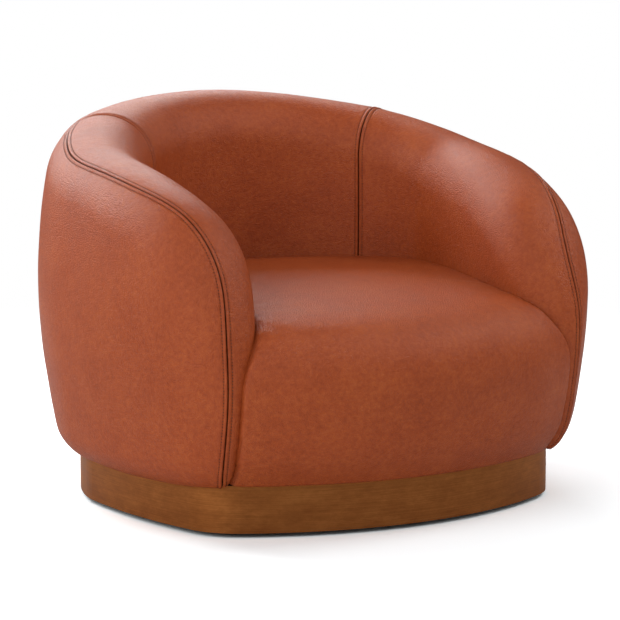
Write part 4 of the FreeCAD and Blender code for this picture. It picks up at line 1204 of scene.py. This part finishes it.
@dataclass
class TopStitching:
    """Rows of short stitches in a heavy thread, on both sides of each seam."""

    thread: bpy.types.Material
    offset: float = 7.4
    pitch: float = 5.0
    length: float = 2.6
    thickness: float = 1.45
    rise: float = 0.3

    def _stitch(self) -> bpy.types.Mesh:
        """One stitch: a short plump dash along X.

        Returns:
            The stitch's mesh.
        """
        bm = bmesh.new()
        bmesh.ops.create_uvsphere(bm, u_segments=6, v_segments=5, radius=0.5)
        size = Vector((self.thickness, self.thickness, self.length)) * MM
        bmesh.ops.scale(bm, vec=size, verts=bm.verts)
        bmesh.ops.rotate(bm, matrix=Matrix.Rotation(math.pi / 2, 3, "Y"), verts=bm.verts)
        mesh = bpy.data.meshes.new("stitch")
        bm.to_mesh(mesh)
        bm.free()
        return mesh

    def _lay(self, bm: bmesh.types.BMesh, stitch: bpy.types.Mesh, line: np.ndarray,
             normal: np.ndarray) -> int:
        """Lays stitches along a line.

        Args:
            bm: the mesh that takes them.
            stitch: one stitch.
            line: points of the line, in millimetres.
            normal: the leather's normals there.

        Returns:
            How many stitches were laid.
        """
        lengths = run_lengths(line[None])
        places = (np.arange(int(lengths[0, -1] / self.pitch)) + 0.5)[None] * self.pitch
        spots, aheads, ups = (resample(rows[None], lengths, at)[0] for rows, at in (
            (line, places), (line, places + 1.0), (normal, places)))
        for spot, ahead, up in zip(spots, aheads, ups):
            up = Vector(up).normalized()
            along = (Vector(ahead) - Vector(spot)).normalized()
            turned = Matrix((along, up.cross(along).normalized(), up)).transposed().to_4x4()
            turned.translation = (Vector(spot) + up * self.rise) * MM
            before = len(bm.verts)
            bm.from_mesh(stitch)
            bm.verts.ensure_lookup_table()
            bmesh.ops.transform(bm, matrix=turned, verts=bm.verts[before:])
        return len(spots)

    def build(self, panels: Sequence[WallPanel]) -> None:
        """Stitches every seamed edge of every panel.

        Args:
            panels: the panels, built.
        """
        stitch = self._stitch()
        row = int(np.argmin(np.abs(np.array(SEAM_LADDER) - self.offset)))
        for panel in panels:
            bm = bmesh.new()
            grid, normal = panel.grid, panel.normal
            column = int(np.argmin(np.abs(panel.ladder[len(grid) // 2] - self.offset)))
            stop = grid.shape[1] - (2 if panel.stretch is Stretch.OUTER else 1)
            ends = (row, -1 - row) if panel.side is None else (-1 - row,)
            count = self._lay(bm, stitch, grid[:, column], normal[:, column])
            for end in ends:
                count += self._lay(bm, stitch, grid[end, column:stop], normal[end, column:stop])
            bmesh.ops.recalc_face_normals(bm, faces=bm.faces)
            piece = to_object(panel.name.replace("panel", "stitching"), bm)
            piece.data.materials.append(self.thread)
            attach(piece, "chair")
            LOG.info("%s: %d stitches", piece.name, count)


# ---------------------------------------------------------------- frame pieces, room and camera

@dataclass
class HiddenFrame:
    """Finishes of the pieces that keep their own shape: plinth, boards, ribs, rails and swivel."""

    # The plywood ring of the plinth is painted dark as shade: its edge shows over the floor and stands in
    # for the contact shadow under the plinth
    painted_shade_nodes: tuple = ("plinth_core",)

    def dress(self) -> None:
        """Gives every shown node its finish."""
        made = {}
        slots = {part["node"]: part["material_slot"] for part in frame["record"]["subparts"]}
        for node, piece in frame["nodes"].items():
            slot_name = "dark_board" if node in self.painted_shade_nodes else slots.get(node, "plywood")
            if slot_name not in made:
                name, finish = FINISHES[slot_name]
                made[slot_name] = finish.material(name)
            if not piece.data.materials:
                piece.data.materials.append(made[slot_name])
            for place in piece.material_slots:
                place.material = made[slot_name]
            LOG.info("%s: %s", node, slot_name)


@dataclass
class Studio:
    """White sweep, soft lamps and the camera of the photograph, in metres."""

    azimuth: float = -30.2
    elevation: float = 7.45
    distance: float = 4.0
    lens: float = 128.55
    target: tuple = (0.0399, 0.0367, 0.3097)
    aim: tuple = (0.0, 0.0, 0.35)
    # Each lamp's place, width and height, and watts
    lamps: tuple = (("left", (-2.9, -0.9, 1.9), (2.4, 2.4), 48.0),
                    ("right", (2.2, -0.6, 2.4), (1.2, 1.2), 29.0),
                    ("rear", (0.75, 2.5, 2.05), (1.6, 1.0), 30.0),
                    ("rear_left", (-1.1, 2.3, 1.9), (1.3, 1.3), 62.0),
                    ("front", (0.3, -3.0, 2.7), (2.4, 2.4), 20.0))
    floor_half: float = 14.0
    # Distances from the chair between which the floor thins out into the white room
    floor_fade: tuple = (1.3, 2.6)
    sky: float = 0.42
    mirrored_sky: float = 0.08

    def build(self) -> None:
        """Makes the room, the lamps and the camera."""
        bpy.context.scene.view_settings.view_transform = "Standard"
        self._camera()
        self._floor()
        self._world()
        for name, place, size, watts in self.lamps:
            data = bpy.data.lights.new(name, "AREA")
            data.shape = "RECTANGLE"
            data.size, data.size_y = size
            data.energy = watts
            self._hang(data, Vector(place), Vector(self.aim) - Vector(place))

    def _hang(self, data: bpy.types.ID, place: Vector, look: Vector) -> bpy.types.Object:
        """Hangs a camera or a lamp at its place.

        Args:
            data: the camera or the lamp.
            place: where it hangs.
            look: the direction that it looks in.

        Returns:
            Its object.
        """
        item = bpy.data.objects.new(data.name, data)
        bpy.context.scene.collection.objects.link(item)
        item.location = place
        item.rotation_mode = "QUATERNION"
        item.rotation_quaternion = look.to_track_quat("-Z", "Y")
        return item

    def _camera(self) -> None:
        """The camera that the photograph was taken from."""
        data = bpy.data.cameras.new("camera")
        data.lens = self.lens
        data.sensor_width = 36.0
        data.clip_end = 50.0
        (cos_a, sin_a), (cos_e, sin_e) = cos_sin(self.azimuth), cos_sin(self.elevation)
        back = Vector((sin_a * cos_e, -cos_a * cos_e, sin_e))
        bpy.context.scene.camera = self._hang(data, Vector(self.target) + back * self.distance, -back)

    def _floor(self) -> None:
        """A pale floor that shows white to the camera and keeps the shadow."""
        bm = bmesh.new()
        bmesh.ops.create_grid(bm, x_segments=1, y_segments=1, size=self.floor_half)
        floor = to_object("floor", bm)
        mat = bpy.data.materials.new("white_floor")
        mat.use_nodes = True
        tree = mat.node_tree
        tree.nodes.clear()
        paint, mirrored, shown = (add(tree, "BsdfDiffuse", {"Color": (*colour, 1)}) for colour in (
            (0.8, 0.8, 0.8), (0.35, 0.35, 0.35), (1.2, 1.25, 1.27)))
        clear = add(tree, "BsdfTransparent")
        place = add(tree, "TexCoord").outputs["Object"]
        away = add(tree, "VectorMath", {"operation": "LENGTH"}, {0: place}).outputs["Value"]
        start, end = self.floor_fade
        fade = add(tree, "MapRange", {"From Min": start, "From Max": end}, {"Value": away})
        path = add(tree, "LightPath")
        seen = add(tree, "MixShader", links={0: fade, 1: shown, 2: clear})
        other = add(tree, "MixShader", links={0: path.outputs["Is Glossy Ray"], 1: paint, 2: mirrored})
        mix = add(tree, "MixShader", links={0: path.outputs["Is Camera Ray"], 1: other, 2: seen})
        add(tree, "OutputMaterial", links={"Surface": mix})
        floor.data.materials.append(mat)

    def _world(self) -> None:
        """Even sky light, shown white to the camera and dimmer in reflections."""
        world = bpy.data.worlds.new("room")
        bpy.context.scene.world = world
        world.use_nodes = True
        tree = world.node_tree
        tree.nodes.clear()
        fill, dim, shown = (add(tree, "Background", {"Color": (1, 1, 1, 1), "Strength": level})
                            for level in (self.sky, self.mirrored_sky, 1.0))
        path = add(tree, "LightPath")
        other = add(tree, "MixShader", links={0: path.outputs["Is Glossy Ray"], 1: fill, 2: dim})
        mix = add(tree, "MixShader", links={0: path.outputs["Is Camera Ray"], 1: other, 2: shown})
        add(tree, "OutputWorld", links={"Surface": mix})


def main() -> None:
    """Builds the studio and the chair in order."""
    logging.basicConfig(level=logging.INFO, format="%(name)s %(message)s")
    Studio().build()
    hide = FullGrainLeather().material("full_grain_leather")
    panels = LeatherTub(hide).build()
    WaterfallSeat(hide).build([panel for panel in panels if panel.stretch is Stretch.INNER])
    TopStitching(THREAD.material("bonded_thread")).build(panels)
    HiddenFrame().dress()


if __name__ == "__main__":
    main()
